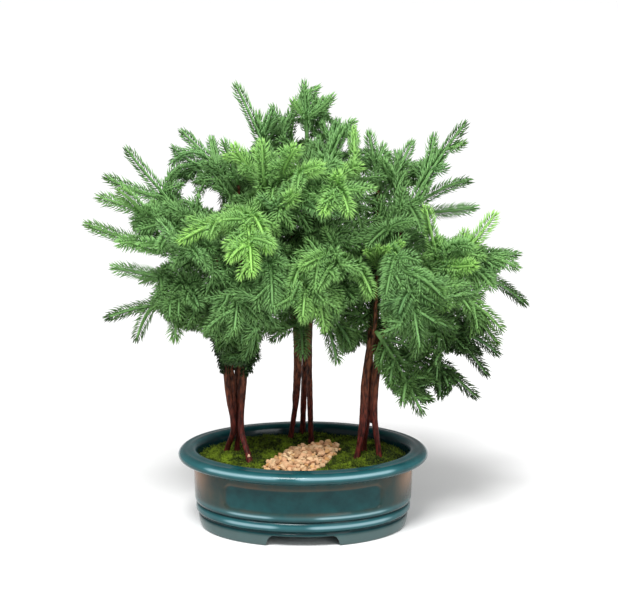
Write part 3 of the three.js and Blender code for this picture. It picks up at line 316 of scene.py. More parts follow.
# The fine twigs: sizes, where their needles start, and how far apart and how long the side twigs of
# sprays (infill) and of inner boughs are, how they lean, rise and drop, and which are too short
TWIG_RADIUS = 2.0
BRANCHLET_RADIUS = 1.8
OWN_RADIUS = 2.3
OWN_SIZE = 1.14
MAIN_BARE, OWN_BARE = 0.1, 3.0
YOUTH_JITTER = 0.1
TWIG_SIDES = 5
TWIG_STEP = 6.0
TWIG_TAPER = 0.45
BRANCHLET_BARE = 2.0
SHORTEST_TWIG = 13
INFILL_START = 0.12
MAIN_INFILL_END = 0.8
SIDE_INFILL_END = 0.6
INFILL_PITCH, INFILL_SHIFT = 10.0, 1.0
INFILL_ANGLE, INFILL_ANGLE_JITTER = 0.85, 0.12
INFILL_LEAN = (0.1, 0.5)
INFILL_REACH, INFILL_SHARE, INFILL_RANGE = 34, 0.34, (0.75, 1.15)
INFILL_RISES, INFILL_DROP = (1, 4), 3
YOUNG_INFILL = 0.4
SIDE_STEPS, SHORT_STEPS = 10, 8
INNER_FIRST, INNER_LAST, INNER_TWIG_STEP = 12, 6, 5.5
INNER_BARE = 6.0
INNER_LEAN = (0, 0.5)
INNER_AIM = (0.62, 0.78)
INNER_REACH, INNER_LOSS, INNER_RANGE = 44, 0.2, (0.75, 1.1)
INNER_RISE, INNER_DROP = 3, 4
INNER_SHORTEST, FEWEST_POINTS = 12, 4
SPRAY_UP = np.array([0, -0.5, 0.87])

# Twigs that are grown to places which would look empty: the grid of places, the gap that calls for a
# twig, how far it may come from, go past and lie behind, which of the nearest starts are tried, and what
# a start costs whose twig points back
FILL_STEP = 3.5
FILL_GAP = 4.0
FILL_REACH = 45.0
FILL_OVER = 4.0
FILL_BEHIND = (-2, 14)
FILL_TRIES = [0, 6, 15, 30, 60, 120, 240]
FILL_STRETCH, FILL_SAMPLE = (0.1, 0.96), 3.0
FILL_RISES = (1, 3)
FILL_KEPT = 0.7
TURNED_BACK = 0.35
TURN_COST = 30
SECOND_GAP = 5.0
SECOND_LENGTH = 18.0

# Needles: sizes in millimetres, angles in degrees, and shares of those at a tip, a root or on a rope,
# which is a twig at the canopy's sides that its needles hug
NEEDLE_LENGTH = 11.4
NEEDLE_WIDTH = 0.64
NEEDLE_PITCH = 2.9
NEEDLES_A_WHORL = 6
NEEDLE_ROOT = 0.5
NEEDLE_ANGLE = 55
OPEN_ANGLE = 7
INCURVE = 17
TIP_STRETCH = 7.0
TIP_CLOSING = 0.6
TIP_SHORT = 0.3
ROOT_STRETCH = 10
ROOT_SHORT = 0.2
END_NEEDLES = 4.5
CLOSED_LENGTH, OPEN_LENGTH = 0.84, 0.16
MIDDLE_OPENNESS, LEAST_OPENNESS = 0.5, 0.1
OPENING_DEPTH = 150
CLOSING_HEIGHT, CLOSING_STRETCH = 340, 260
LENGTH_RANGE = (0.86, 1.08)
WIDTH_RANGE = (0.9, 1.12)
PLAIN_WIDTH, SIZE_WIDTH = 0.7, 0.3
WHORL_JITTER = 0.12
TURN_JITTER = 0.09
ANGLE_JITTER = 0.06
AGE_JITTER = 0.05
ROOT_YOUTH, YOUNG_TIP = 0.5, 0.25
ROPE_DEPTHS = (0.35, 0.1)
ROPE_OPENNESS = 1.25
ROPE_INCURVE = 20
ROPE_SHORT = 0.34
ROPE_WIDER = 0.2

# How light needles are painted, as light and shade fall: the plain tone, the painted light at the front, on
# the upper side and at the top, the painted shade at the canopy's edges and sides, low down, at the collar
# and on shaded twigs, and over which depths, heights and places across each works
PLAIN_TONE = 0.28
OPEN_LIGHT = 0.5
UPPER_SIDE_LIGHT = 0.25
SHADED_TONE = 0.35
UNEVEN_TONE = 0.15
TOP_LIGHT, TOP_LIGHT_HEIGHTS = 0.1, (350, 400)
EDGE_SHADE, EDGE_DEPTHS = 0.34, (0.25, 0)
SIDE_SHADE, SIDES = 0.45, (90, 140)
UNSHADED_TOP = (340, 400)
LOW_SHADE, LOW_HEIGHTS = 0.46, (295, 205)
LOW_OLIVE_SHADE = 0.85
COLLAR_SHADE, COLLAR_SHADE_HEIGHTS, COLLAR_SIDE = 0.8, (212, 188), (-30, -48)
INFILL_SHADE = 0.3
FILL_SHADE = 0.45
INNER_SHADE = 0.55
SHADE_AS_DEPTH = 0.3
TWIG_TONE, YOUNG_TWIG_TONE, SHADED_TWIG_TONE = 0.34, 0.4, 0.3
TWIG_ALONG = 0.6

# How young the needles of some sprays are, where the rest are mature
YOUNG_SPRAYS = {2: 0.25, 3: 0.25, 5: 0.65, 6: 0.95, 21: 0.65, 22: 0.5, 33: 0.8, 36: 0.4, 39: 0.2, 41: 0.5}
MATURE = 0.12
# Sprays that lie in shade, with how much painted shade darkens their needles
SHADED_SPRAYS = {11: 0.8, 24: 0.5, 26: 0.5, 35: 0.2, 37: 0.4, 38: 0.6, 39: 0.3, 40: 0.35}

# How low the stems of each clump still wear needles, the left clump's collar of hanging twigs, the worn
# needles themselves, and the canopy's size
COLLAR_LOWEST = {"left": 158, "middle": 205, "right": 205}
COLLAR_HEIGHTS = (176, 216)
COLLAR_TWIGS = 36
COLLAR_REACH = 3.2
COLLAR_SPREAD = 10
COLLAR_DROP, COLLAR_DROP_RANGE = 19, (0.8, 1.1)
COLLAR_RISE = 3
COLLAR_RADIUS = 1.5
COLLAR_SIZE = 0.85
COLLAR_OPENNESS = 0.1
COLLAR_UP = np.array([0, -1.0, 0.1])
WORN_RADIUS = 2.2
WORN_PITCH = 2.2
WORN_OPENNESS = 0.3
WORN_STEP = 4.0
CANOPY_MIDDLE = np.array([0, 0, 285])
CANOPY_RADII = np.array([200, 120, 130])
CANOPY_EDGE = 1.15

# The canopy's outline as seen from the front, across and up, which the inner boughs keep inside, and
# its gaps, each with a radius
CANOPY_OUTLINE = [
    (-82, 166), (-88, 189), (-104, 201), (-127, 204), (-139, 216), (-153, 228), (-145, 247), (-133, 257),
    (-153, 263), (-138, 273), (-131, 279), (-137, 289), (-162, 295), (-170, 310), (-161, 326), (-149, 336),
    (-138, 348), (-133, 363), (-120, 371), (-101, 373), (-96, 378), (-80, 380), (-68, 380), (-56, 382),
    (-46, 391), (-40, 409), (-30, 423), (-18, 417), (-9, 430), (1, 444), (13, 441), (26, 437), (27, 415),
    (36, 411), (51, 410), (52, 385), (64, 388), (76, 388), (90, 382), (108, 372), (119, 378), (131, 387),
    (143, 387), (134, 370), (125, 358), (124, 340), (114, 332), (132, 304), (146, 296), (166, 301),
    (180, 288), (206, 281), (201, 267), (188, 251), (177, 243), (173, 230), (190, 212), (186, 203),
    (170, 193), (183, 176), (165, 176), (140, 179), (136, 168), (160, 154), (144, 133), (124, 126),
    (102, 131), (88, 143), (78, 158), (68, 185), (62, 189), (50, 181), (39, 177), (35, 190), (30, 204),
    (22, 211), (9, 219), (-3, 206), (-27, 197), (-43, 198), (-47, 180), (-58, 168),
]
CANOPY_GAPS = [(-3, 403, 8), (39, 390, 8), (-113, 343, 9), (-91, 335, 12), (109, 345, 6), (111, 308, 5),
               (127, 297, 6), (-10, 202, 5), (-144, 302, 5), (126, 173, 5), (131, 139, 6)]

# The front right stem shows below its bud, where no filling twig passes before it: its ends as seen
# from the front, how far off the twigs keep, and before which depth
CLEARING_LOW, CLEARING_HIGH = np.array([71, 196]), np.array([75, 288])
CLEARING_RADIUS = 6.5
CLEARING_DEPTH = -17

# The young shoots round the bud: their tips, where they start from the bud's stem, and their needles
YOUNG_SHOOTS = [(60, -62, 296), (83, -64, 299), (97, -58, 303), (72, -60, 300), (90, -66, 290)]
SHOOT_START = (0, 0, -8)
SHOOT_ARCH = 5
SHOOT_TWIG = {"radius": 0.9, "first": 3.0, "youth": 0.95, "size": 0.7}
SHOOT_UP = np.array([0, -0.6, 0.8])
SHOOT_OPENNESS = 0.9

# The pale cut on a root leg and the cream bud: stem, height on it, offset from there, and half sizes
ROOT_CUT = ("left_3", 80, (0.6, -2.6, -1.0), (1.5, 0.9, 3.4))
STEM_BUD = ("right_1", 276, (0, -0.8, 5.0), (3.0, 3.0, 5.6))

# Seeds of the random draws
TUFT_SEED = 31
PEBBLE_SEED = 17
RULE_SEED = 100
FOLIAGE_SEED = 500
SPRAY_SEED = 700
INNER_SEED = 820
STEM_NEEDLE_SEED = 860
FILL_SEED = 870
YOUNG_SHOOT_SEED = 901

# The camera stands where the photograph was taken from
CAMERA_DISTANCE = 1.750
CAMERA_TILT = math.radians(12.3)
CAMERA_TARGET = (0.006, 0.0, 0.240)
CAMERA_LENS = 101.8
SENSOR_WIDTH = 36.0
CLIP_FROM, CLIP_TO = 0.05, 20.0


class Stream:
    """A repeatable stream of numbers from 0 to 1, the same as the one in the part's source."""

    START, FACTOR, STEP, RANGE = 2654435761, 1664525, 1013904223, 2 ** 32

    def __init__(self, seed):
        self.state = (seed + 1) * self.START % self.RANGE

    def draw(self):
        self.state = (self.state * self.FACTOR + self.STEP) % self.RANGE
        return self.state / self.RANGE


def unit(vectors):
    vectors = np.asarray(vectors, float)
    return vectors / np.linalg.norm(vectors, axis=-1, keepdims=True)


def smooth_step(low, high, value):
    """0 to 1 as a value goes from the first bound to the second, eased at both."""
    t = np.clip((value - low) / (high - low), 0, 1)
    return t * t * (3 - 2 * t)


def bell(value, middle, width):
    return np.exp(-((value - middle) / width) ** 2)


def circle_turns(count):
    return 2 * np.pi * np.arange(count) / count


def bumps(points, scale, seed=0.0):
    """Perlin noise at points in millimetres, with features of the size given."""
    return np.array([noise.noise(Vector((x / scale + seed, y / scale - seed, z / scale)))
                     for x, y, z in points])


def level_bumps(x, y, start, layers):
    """Layers of bumps over level places, each with a strength, a size and a seed."""
    flat = np.stack([x, y, np.zeros_like(x)], axis=1)
    for strength, size, seed in layers:
        start = start + strength * bumps(flat, size, seed)
    return start


# Meshes


def add_object(name, data):
    holder = bpy.data.objects.new(name, data)
    bpy.context.scene.collection.objects.link(holder)
    return holder


def make_piece(name, points, faces, material, node=None, tint=None, sharp_angle=None):
    """A mesh from points in millimetres and arrays of triangles or quads; tint is a colour for each
    point, which its material reads."""
    mesh = bpy.data.meshes.new(name)
    co = np.asarray(points, float) * MM + POT_CENTRE
    mesh.vertices.add(len(co))
    mesh.vertices.foreach_set("co", co.astype(np.float32).ravel())
    corners = np.concatenate([np.asarray(group, np.int32).ravel() for group in faces])
    sizes = np.concatenate([np.full(len(group), np.asarray(group).shape[1], np.int32) for group in faces])
    starts = np.concatenate([[0], np.cumsum(sizes)[:-1]]).astype(np.int32)
    mesh.loops.add(len(corners))
    mesh.loops.foreach_set("vertex_index", corners)
    mesh.polygons.add(len(sizes))
    mesh.polygons.foreach_set("loop_start", starts)
    mesh.polygons.foreach_set("loop_total", sizes)
    mesh.polygons.foreach_set("use_smooth", np.ones(len(sizes), bool))
    mesh.update(calc_edges=True)
    if sharp_angle:
        mesh.set_sharp_from_angle(angle=math.radians(sharp_angle))
    if tint is not None:
        layer = mesh.color_attributes.new("tint", "FLOAT_COLOR", "POINT")
        layer.data.foreach_set("color", np.asarray(tint, np.float32).ravel())
    mesh.materials.append(material)
    piece = add_object(name, mesh)
    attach(piece, "root")
    if node:
        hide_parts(node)


def grid_faces(rows, columns):
    """Quads of a grid whose columns close on themselves."""
    row, column = np.meshgrid(np.arange(rows - 1), np.arange(columns), indexing="ij")
    above, after = row + 1, (column + 1) % columns
    quads = np.stack([row * columns + column, row * columns + after, above * columns + after,
                      above * columns + column], axis=-1)
    return quads.reshape(-1, 4)


def fan_faces(ring, middle, faces_up):
    """Triangles from a ring of points to one point in its middle."""
    ring = np.asarray(ring)
    after = np.roll(ring, -1)
    middles = np.full(len(ring), middle)
    return np.stack([ring, after, middles] if faces_up else [after, ring, middles], axis=1)


def end_rings(rows, columns):
    """The numbers of a grid's first and last ring of points."""
    return np.arange(columns), np.arange((rows - 1) * columns, rows * columns)


def repeated_faces(pattern, points_each, total):
    """The triangles of many small shapes that share one pattern."""
    return (points_each * np.arange(total)[:, None, None] + pattern[None]).reshape(-1, 3)


def rings_round(turns, across, lift):
    """Directions round a line, at each of its places, for the turns given."""
    turns = turns[None, :, None]
    return np.cos(turns) * across[:, None, :] + np.sin(turns) * lift[:, None, :]


def closed_tube(rings, start, end):
    """A tube through rings of points: its points, with one at each end, its quads, and its ends' fans."""
    rows, sides = rings.shape[:2]
    points = np.concatenate([rings.reshape(-1, 3), start, end])
    first, last = end_rings(rows, sides)
    caps = [fan_faces(first, rows * sides, True), fan_faces(last, rows * sides + 1, False)]
    return points, grid_faces(rows, sides)[:, ::-1], np.concatenate(caps)


# Paths


def stem_place(stem, height):
    """The place of a stem's middle line at a height, eased smoothly from knot to knot."""
    knots = stem[0]
    last = len(knots) - 1
    k = 0
    while k < last - 1 and height > knots[k + 1][2]:
        k += 1

    def slope(at, axis):
        before, after = knots[max(at - 1, 0)], knots[min(at + 1, last)]
        return (after[axis] - before[axis]) / (after[2] - before[2])

    low, high = knots[k], knots[k + 1]
    span = high[2] - low[2]
    t = (height - low[2]) / span
    place = [(2 * t ** 3 - 3 * t ** 2 + 1) * low[axis] + (t ** 3 - 2 * t ** 2 + t) * span * slope(k, axis)
             + (3 * t ** 2 - 2 * t ** 3) * high[axis] + (t ** 3 - t ** 2) * span * slope(k + 1, axis)
             for axis in (0, 1)]
    return np.array([*place, height])


def stem_radius(stem, height):
    foot, top = stem[0][0][2], stem[0][-1][2]
    return stem[1][0] + (stem[1][1] - stem[1][0]) * (height - foot) / (top - foot)


def stem_reach(stem, height, towards):
    """How far a stem's five-sided section reaches towards a level direction."""
    facing = math.atan2(towards[1], towards[0])
    corners = [2 * math.pi * i / STEM_SIDES for i in range(STEM_SIDES)]
    return stem_radius(stem, height) * max(math.cos(facing - corner) for corner in corners)


def arched_path(start, end, rise, count):
    """A curve whose middle lies above the straight line by a rise."""
    t = np.linspace(0, 1, count + 1)[:, None]
    control = (start + end) / 2 + np.array([0, 0, 2 * rise])
    return start * (1 - t) ** 2 + control * 2 * t * (1 - t) + end * t * t


def path_lengths(path):
    return np.concatenate([[0], np.cumsum(np.linalg.norm(np.diff(path, axis=0), axis=1))])


def mixed(distances, lengths, rows):
    """Rows of three numbers, mixed between their distances along a path."""
    return np.stack([np.interp(distances, lengths, rows[:, axis]) for axis in range(3)], axis=-1)


def along_path(path, distances):
    """Places and directions at distances along a path."""
    lengths = path_lengths(path)
    tangents = unit(np.gradient(path, lengths, axis=0))
    return mixed(distances, lengths, path), unit(mixed(distances, lengths, tangents))


def step_along(path, distance):
    """The place and the direction of the straight step that holds a distance along a path."""
    left = distance
    for start, end in zip(path[:-1], path[1:]):
        length = np.linalg.norm(end - start)
        if left <= length or end is path[-1]:
            break
        left -= length
    tangent = (end - start) / length
    return start + tangent * left, tangent


# Layout of the twigs


def spread_whorls(first, length, pitch=WHORL_PITCH):
    """Whorls spread evenly along a twig, each with the directions in which side twigs leave it."""
    last = length - TIP_LENGTH
    count = max(1, math.floor((last - first) / pitch + 0.5) + 1)
    places = [last] if count == 1 else [first + (last - first) * i / (count - 1) for i in range(count)]
    return [{"at": at, "set_out": []} for at in places]


def fine_places(path, first=0.0):
    """Evenly spaced places on a path from a distance on, a few millimetres apart."""
    lengths = path_lengths(path)
    count = max(1, math.ceil((lengths[-1] - first) / GAP_STEP))
    return mixed(first + (lengths[-1] - first) * np.arange(count + 1) / count, lengths, path)


def is_clear(path, occupied):
    """Whether a side twig keeps clear of the twigs and stems that are there."""
    if path_lengths(path)[-1] <= ROOT_FREE:
        return False
    gaps = np.linalg.norm(fine_places(path, ROOT_FREE)[:, None, :] - occupied[None, :, :], axis=-1)
    return bool((gaps >= TWIG_CLEARANCE).all())


def spray_root(stem, height, end):
    """Where a spray leaves its stem: at the stem's top, or on its side that faces the spray's tip."""
    foot = stem_place(stem, height)
    if height == stem[0][-1][2]:
        return foot + np.array([0, 0, ROOT_GAP])
    outward = unit((end - foot) * (1, 1, 0))
    return foot + outward * (stem_reach(stem, height, outward) + ROOT_GAP)


def rule_tips(number, length, branchlet_length, sag, path):
    """Side twigs of a spray that has none of its own: two pairs, level and spread wide."""
    stream = Stream(RULE_SEED + number)
    tips = []
    for share, taper in RULE_PAIRS:
        place, tangent = step_along(path, share * length)
        for hand in (-1, 1):
            side = unit(np.cross(tangent, (0, 0, 1))) * hand
            reach = branchlet_length * taper * (LEAST_SHARE + SHARE_RANGE * stream.draw())
            spread = BRANCHLET_ANGLE + (stream.draw() - 0.5) * ANGLE_RANGE
            tip = place + (tangent * math.cos(spread) + side * math.sin(spread)) * reach
            tips.append((share, *(tip - (0, 0, sag))))
    return tips


def set_out_across(step, tangent):
    """The part of a side twig's first step that leads away from the main twig."""
    return unit(step - tangent * step.dot(tangent))


def is_crowded(whorl, step, tangent):
    """Whether a side twig would leave its whorl along the main twig, or beside one that is there."""
    if unit(step).dot(tangent) > ALONG_MAIN:
        return True
    across = set_out_across(step, tangent)
    return any(set_out_across(other, tangent).dot(across) > CROWDED for other in whorl["set_out"])


def add_side_twig(spray, whorls, ends, rise, occupied):
    """Adds a side twig from the first whorl, to the first end and with the first arch that keep it clear."""
    for whorl in whorls:
        distance = whorl["at"] + WHORL_LENGTH / 2
        start, tangent = step_along(spray["path"], distance)
        for end in ends:
            for turn in TURNS:
                path = arched_path(start, end, rise + turn, BRANCHLET_STEPS)
                step = path[1] - path[0]
                if not is_crowded(whorl, step, tangent) and is_clear(path, np.concatenate(occupied)):
                    whorl["set_out"].append(step)
                    spray["twigs"].append({"start": start, "end": end, "rise": rise + turn})
                    occupied.append(fine_places(path, ROOT_FREE))
                    return


def start_spray(stem_name, height, tip, rise, occupied):
    """A spray with its main twig alone."""
    end = np.array(tip, float)
    root = spray_root(STEMS[stem_name], height, end)
    path = arched_path(root, end, rise, CURVE_STEPS)
    occupied.append(fine_places(path))
    return {"clump": stem_name.split("_")[0], "root": root, "end": end, "rise": rise, "path": path,
            "length": path_lengths(path)[-1], "twigs": []}


def lay_out_spray(row, number, occupied):
    """The main twig of a spray, and side twigs from the whorls nearest to where they leave."""
    stem_name, height, tip, rise, side_rise, side_tips = row
    spray = start_spray(stem_name, height, tip, rise, occupied)
    length = spray["length"]
    whorls = spread_whorls(BARE_SHARE * length, length)
    if isinstance(side_tips, int):
        side_tips = rule_tips(number, length, side_tips, side_rise, spray["path"])
    for share, *side_tip in side_tips:
        nearest = sorted(whorls, key=lambda whorl: abs(whorl["at"] - share * length))
        add_side_twig(spray, nearest, [np.array(side_tip, float)], side_rise, occupied)
    return spray


def reach_inside(start, direction, middle, sizes):
    """How far a ray from inside an egg-shaped space runs before it leaves it."""
    away = (start - middle) / sizes
    along = direction / sizes
    a, b, c = along.dot(along), away.dot(along), away.dot(away) - 1
    return (-b + math.sqrt(max(b * b - a * c, 0))) / a


def lay_out_inner_boughs(shoot, number, occupied):
    """The twigs of a clump's inner boughs, which leave a climbing shoot on all sides."""
    stem_name, height, tip, middle, sizes = shoot
    spray = start_spray(stem_name, height, tip, SHOOT_RISE, occupied)
    turn = number
    for whorl in spread_whorls(SHOOT_BARE, spray["length"], INNER_PITCH):
        start, _ = step_along(spray["path"], whorl["at"] + WHORL_LENGTH / 2)
        lift = LOWEST_LIFT + LIFT_GAIN * whorl["at"] / spray["length"]
        for _ in range(BOUGHS_A_WHORL):
            turn += GOLDEN_TURN
            ends = []
            for bend in BOUGH_BENDS:
                direction = unit(np.array([math.cos(turn + bend), math.sin(turn + bend), lift]))
                reach = reach_inside(start, direction, np.array(middle), np.array(sizes))
                ends.append(start + direction * reach)
            add_side_twig(spray, [whorl], ends, BOUGH_RISE, occupied)
    return spray


def lay_out_twigs():
    """The twigs of every spray, and those of the inner boughs."""
    occupied = [np.array([stem_place(stem, height)]) for stem in STEMS.values()
                for height in np.arange(LOWEST_TWIG, stem[0][-1][2] + TOP_COUNTED, GAP_STEP)]
    sprays = [lay_out_spray(row, number, occupied) for number, row in enumerate(SPRAYS)]
    inner = [lay_out_inner_boughs(shoot, number, occupied) for number, shoot in enumerate(INNER_SHOOTS)]
    return sprays, inner


# Needles and twigs


class Foliage:
    """Points, faces and tints of one piece of foliage, gathered twig by twig."""

    def __init__(self, seed):
        self.random = np.random.default_rng(seed)
        self.points, self.quads, self.triangles, self.tints = [], [], [], []
        self.count = 0

    def add(self, points, tints, quads=None, triangles=None):
        if quads is not None:
            self.quads.append(quads + self.count)
        if triangles is not None:
            self.triangles.append(triangles + self.count)
        self.points.append(points)
        self.tints.append(tints)
        self.count += len(points)

    def make(self, name, material, node=None):
        faces = [np.concatenate(self.quads), np.concatenate(self.triangles)]
        make_piece(name, np.concatenate(self.points), faces, material, node=node,
                   tint=np.concatenate(self.tints))


def canopy_depth(points):
    """How deep inside the canopy points lie: 0 at its edge or beyond, 1 in the middle."""
    away = np.linalg.norm((points - CANOPY_MIDDLE) / CANOPY_RADII, axis=-1)
    return np.clip(CANOPY_EDGE - away, 0, 1)


def camera_place():
    """Where the camera stands, in metres from the pot's foot."""
    forward = np.array([0, math.cos(CAMERA_TILT), -math.sin(CAMERA_TILT)])
    return np.array(CAMERA_TARGET) - forward * CAMERA_DISTANCE


def seen_from_front(points):
    """Places across and up the plane of the pot's middle where points appear from the front."""
    eye = camera_place() / MM
    share = -eye[1] / (points[:, 1] - eye[1])
    return eye[[0, 2]] + (points[:, [0, 2]] - eye[[0, 2]]) * share[:, None]


def at_depth(flat, depths):
    """The points at the depths given that appear from the front at places across and up."""
    eye = camera_place() / MM
    share = -eye[1] / (depths - eye[1])
    across_up = eye[[0, 2]] + (flat - eye[[0, 2]]) / share[:, None]
    return np.stack([across_up[:, 0], depths, across_up[:, 1]], axis=1)


def inside_canopy(points):
    """Whether points lie inside the canopy's outline from the front, and out of its gaps."""
    flat = seen_from_front(points)
    outline = np.array(CANOPY_OUTLINE, float)
    ahead = np.roll(outline, -1, axis=0)
    inside = np.zeros(len(flat), bool)
    for (x0, z0), (x1, z1) in zip(outline, ahead):
        crosses = (z0 > flat[:, 1]) != (z1 > flat[:, 1])
        at = x0 + (flat[:, 1] - z0) / (z1 - z0 if z1 != z0 else 1) * (x1 - x0)
        inside ^= crosses & (flat[:, 0] < at)
    for x, z, radius in CANOPY_GAPS:
        inside &= np.hypot(flat[:, 0] - x, flat[:, 1] - z) > radius
    low, line = CLEARING_LOW, CLEARING_HIGH - CLEARING_LOW
    along = np.clip((flat - low) @ line / line.dot(line), 0, 1)[:, None]
    cleared = np.linalg.norm(flat - low - along * line, axis=1) < CLEARING_RADIUS
    return inside & ~(cleared & (points[:, 1] < CLEARING_DEPTH))


def trimmed(path):
    """The stretch of a path from its start that stays inside the canopy."""
    inside = inside_canopy(path)
    if inside.all():
        return path
    return path[:int(np.argmin(inside))]


def twig_frames(tangents, up):
    """Directions across a twig and off its upper side, for directions along it."""
    sides = unit(np.cross(tangents, up))
    return sides, np.cross(sides, tangents)


def aimed(first, second, angles):
    """Directions that turn from the first towards the second by the angles given."""
    return first * np.cos(angles)[:, None] + second * np.sin(angles)[:, None]


def add_twig(foliage, path, twig, up):
    """A twig's own tube, which thins towards its tip."""
    length = path_lengths(path)[-1]
    stations = np.linspace(0, length, max(3, int(length / TWIG_STEP)))
    places, tangents = along_path(path, stations)
    radii = twig["radius"] * (1 - TWIG_TAPER * stations / length)
    rings = rings_round(circle_turns(TWIG_SIDES), *twig_frames(tangents, up)) * radii[:, None, None]
    tip = places[-1:] + tangents[-1:] * radii[-1]
    points, quads, caps = closed_tube(places[:, None, :] + rings, places[:1], tip)
    # Young twigs are lighter, and shaded ones get painted shade
    tone_and_painted_light = TWIG_TONE + YOUNG_TWIG_TONE * twig["youth"] - SHADED_TWIG_TONE * twig["shade"]
    tints = np.tile([twig["youth"], TWIG_ALONG, tone_and_painted_light, 0], (len(points), 1))
    tints[:, 3] = canopy_depth(points)
    foliage.add(points, tints, quads=quads, triangles=caps)


# A needle is a slim kite: its root, three corners at its widest, and its point
NEEDLE_SIDES = np.array([(0, 2, 1), (0, 3, 2), (0, 1, 3), (1, 2, 4), (2, 3, 4), (3, 1, 4)])
NEEDLE_LEVELS = np.array([0, 0.5, 0.5, 0.5, 1])
WIDEST = 0.48


def needle_stations(length, first, pitch, random):
    """How far along a twig and which way round it each needle stands, and whether its whorl is short."""
    steps = np.arange(length, first, -pitch)
    distance, total = np.repeat(steps, NEEDLES_A_WHORL), len(steps) * NEEDLES_A_WHORL
    distance = np.clip(distance + random.normal(0, WHORL_JITTER, total), 0, length)
    turn = np.tile(circle_turns(NEEDLES_A_WHORL), len(steps)) + random.normal(0, TURN_JITTER, total)
    return distance, turn, np.repeat(np.arange(len(steps)) % 2 == 1, NEEDLES_A_WHORL)


def needle_tones_and_light(places, depth, turn, openness, shade, random):
    """How light needles are painted, as light and shade fall: 1 in the light, 0 in the shade, and below 0
    where painted shade makes them nearly black; only the uneven part is their own.
    """
    x, height = places[:, 0], places[:, 2]
    tone_and_painted_light = PLAIN_TONE + OPEN_LIGHT * openness + UPPER_SIDE_LIGHT * np.sin(turn) - SHADED_TONE * shade
    tone_and_painted_light = tone_and_painted_light + random.normal(0, UNEVEN_TONE, len(turn))
    side = smooth_step(*SIDES, np.abs(x))
    edge = smooth_step(*EDGE_DEPTHS, depth) * (1 - smooth_step(*UNSHADED_TOP, height) * (1 - side))
    tone_and_painted_light = tone_and_painted_light - (EDGE_SHADE + SIDE_SHADE * side) * edge
    tone_and_painted_light = tone_and_painted_light - LOW_SHADE * smooth_step(*LOW_HEIGHTS, height)
    tone_and_painted_light = tone_and_painted_light + TOP_LIGHT * smooth_step(*TOP_LIGHT_HEIGHTS, height)
    tone_and_painted_light = tone_and_painted_light - COLLAR_SHADE * smooth_step(*COLLAR_SHADE_HEIGHTS, height) * smooth_step(*COLLAR_SIDE, x)
    return np.clip(tone_and_painted_light, -1, 1)


def needle_points(places, tangents, out, angles, reach, width, radius):
    """Each needle's points: its root on the twig, three corners at its widest, and its tip."""
    low, high = [aimed(tangents, out, angle) for angle in angles]
    roots = places + out * (radius * NEEDLE_ROOT)[:, None]
    middles = roots + low * (reach * WIDEST)[:, None]
    tips = middles + high * (reach * (1 - WIDEST))[:, None]
    flat = unit(np.cross(tangents, out))
    ring = rings_round(circle_turns(3) + np.pi / 2, flat, np.cross(low, flat))
    widest = middles[:, None, :] + ring * width[:, None, None]
    return np.concatenate([roots[:, None, :], widest, tips[:, None, :]], axis=1).reshape(-1, 3)


def needle_tints(twig, places, turn, along, at_tip, openness, random):
    """How young each needle is, how far up it each of its points is, its painted light and shade, and how
    deep in it lies, which sets its painted olive shade.
    """
    youth, depth = twig["youth"], canopy_depth(places)
    age = youth * (ROOT_YOUTH + (1 - ROOT_YOUTH) * along) + YOUNG_TIP * at_tip * youth
    age = age + random.normal(0, AGE_JITTER, len(turn))
    # Painted shade: darker olive low in the canopy, and deep inside it by the depth
    olive_shade = LOW_OLIVE_SHADE * smooth_step(*LOW_HEIGHTS, places[:, 2]) * (1 - youth)
    tints = np.zeros((len(turn), len(NEEDLE_LEVELS), 4))
    tints[:, :, 0] = np.clip(age, 0, 1)[:, None]
    tints[:, :, 1] = NEEDLE_LEVELS[None]
    tints[:, :, 2] = needle_tones_and_light(places, depth, turn, openness, twig["shade"], random)[:, None]
    tints[:, :, 3] = (np.maximum(depth, twig["shade"] - SHADE_AS_DEPTH) + olive_shade)[:, None]
    return tints.reshape(-1, 4)


def add_needles(foliage, path, twig, up, openness, pitch=NEEDLE_PITCH):
    """Whorls of incurved needles along a twig, set at a wider angle the more open they are."""
    random, size = foliage.random, twig["size"]
    length = path_lengths(path)[-1]
    distance, turn, is_short = needle_stations(length, twig["first"], pitch, random)
    total = len(distance)
    places, tangents = along_path(path, distance)
    out = aimed(*twig_frames(tangents, up), turn)
    open_rope = np.clip(ROPE_OPENNESS - openness, 0, 1)
    rope = smooth_step(*ROPE_DEPTHS, canopy_depth(places)) * (1 - twig["youth"]) * open_rope
    at_tip = np.clip(1 - (length - distance) / TIP_STRETCH, 0, 1)
    near_root = np.clip(1 - (distance - twig["first"]) / ROOT_STRETCH, 0, 1)
    closing = 1 - TIP_CLOSING * at_tip
    base_angle = np.radians(NEEDLE_ANGLE + OPEN_ANGLE * openness) * closing
    base_angle = base_angle + random.normal(0, ANGLE_JITTER, total)
    tip_angle = base_angle - np.radians(INCURVE + ROPE_INCURVE * rope) * closing
    reach = NEEDLE_LENGTH * size * (CLOSED_LENGTH + OPEN_LENGTH * openness)
    reach = reach * (1 - TIP_SHORT * at_tip) * (1 - ROOT_SHORT * near_root)
    reach = reach * random.uniform(*LENGTH_RANGE, total) * (1 - ROPE_SHORT * rope * is_short)
    width = NEEDLE_WIDTH * (PLAIN_WIDTH + SIZE_WIDTH * size) * (1 + ROPE_WIDER * rope)
    width = width * random.uniform(*WIDTH_RANGE, total)
    radius = twig["radius"] * (1 - TWIG_TAPER * distance / length)
    points = needle_points(places, tangents, out, (base_angle, tip_angle), reach, width, radius)
    tints = needle_tints(twig, places, turn, distance / length, at_tip, openness, random)
    foliage.add(points, tints, triangles=repeated_faces(NEEDLE_SIDES, len(NEEDLE_LEVELS), total))


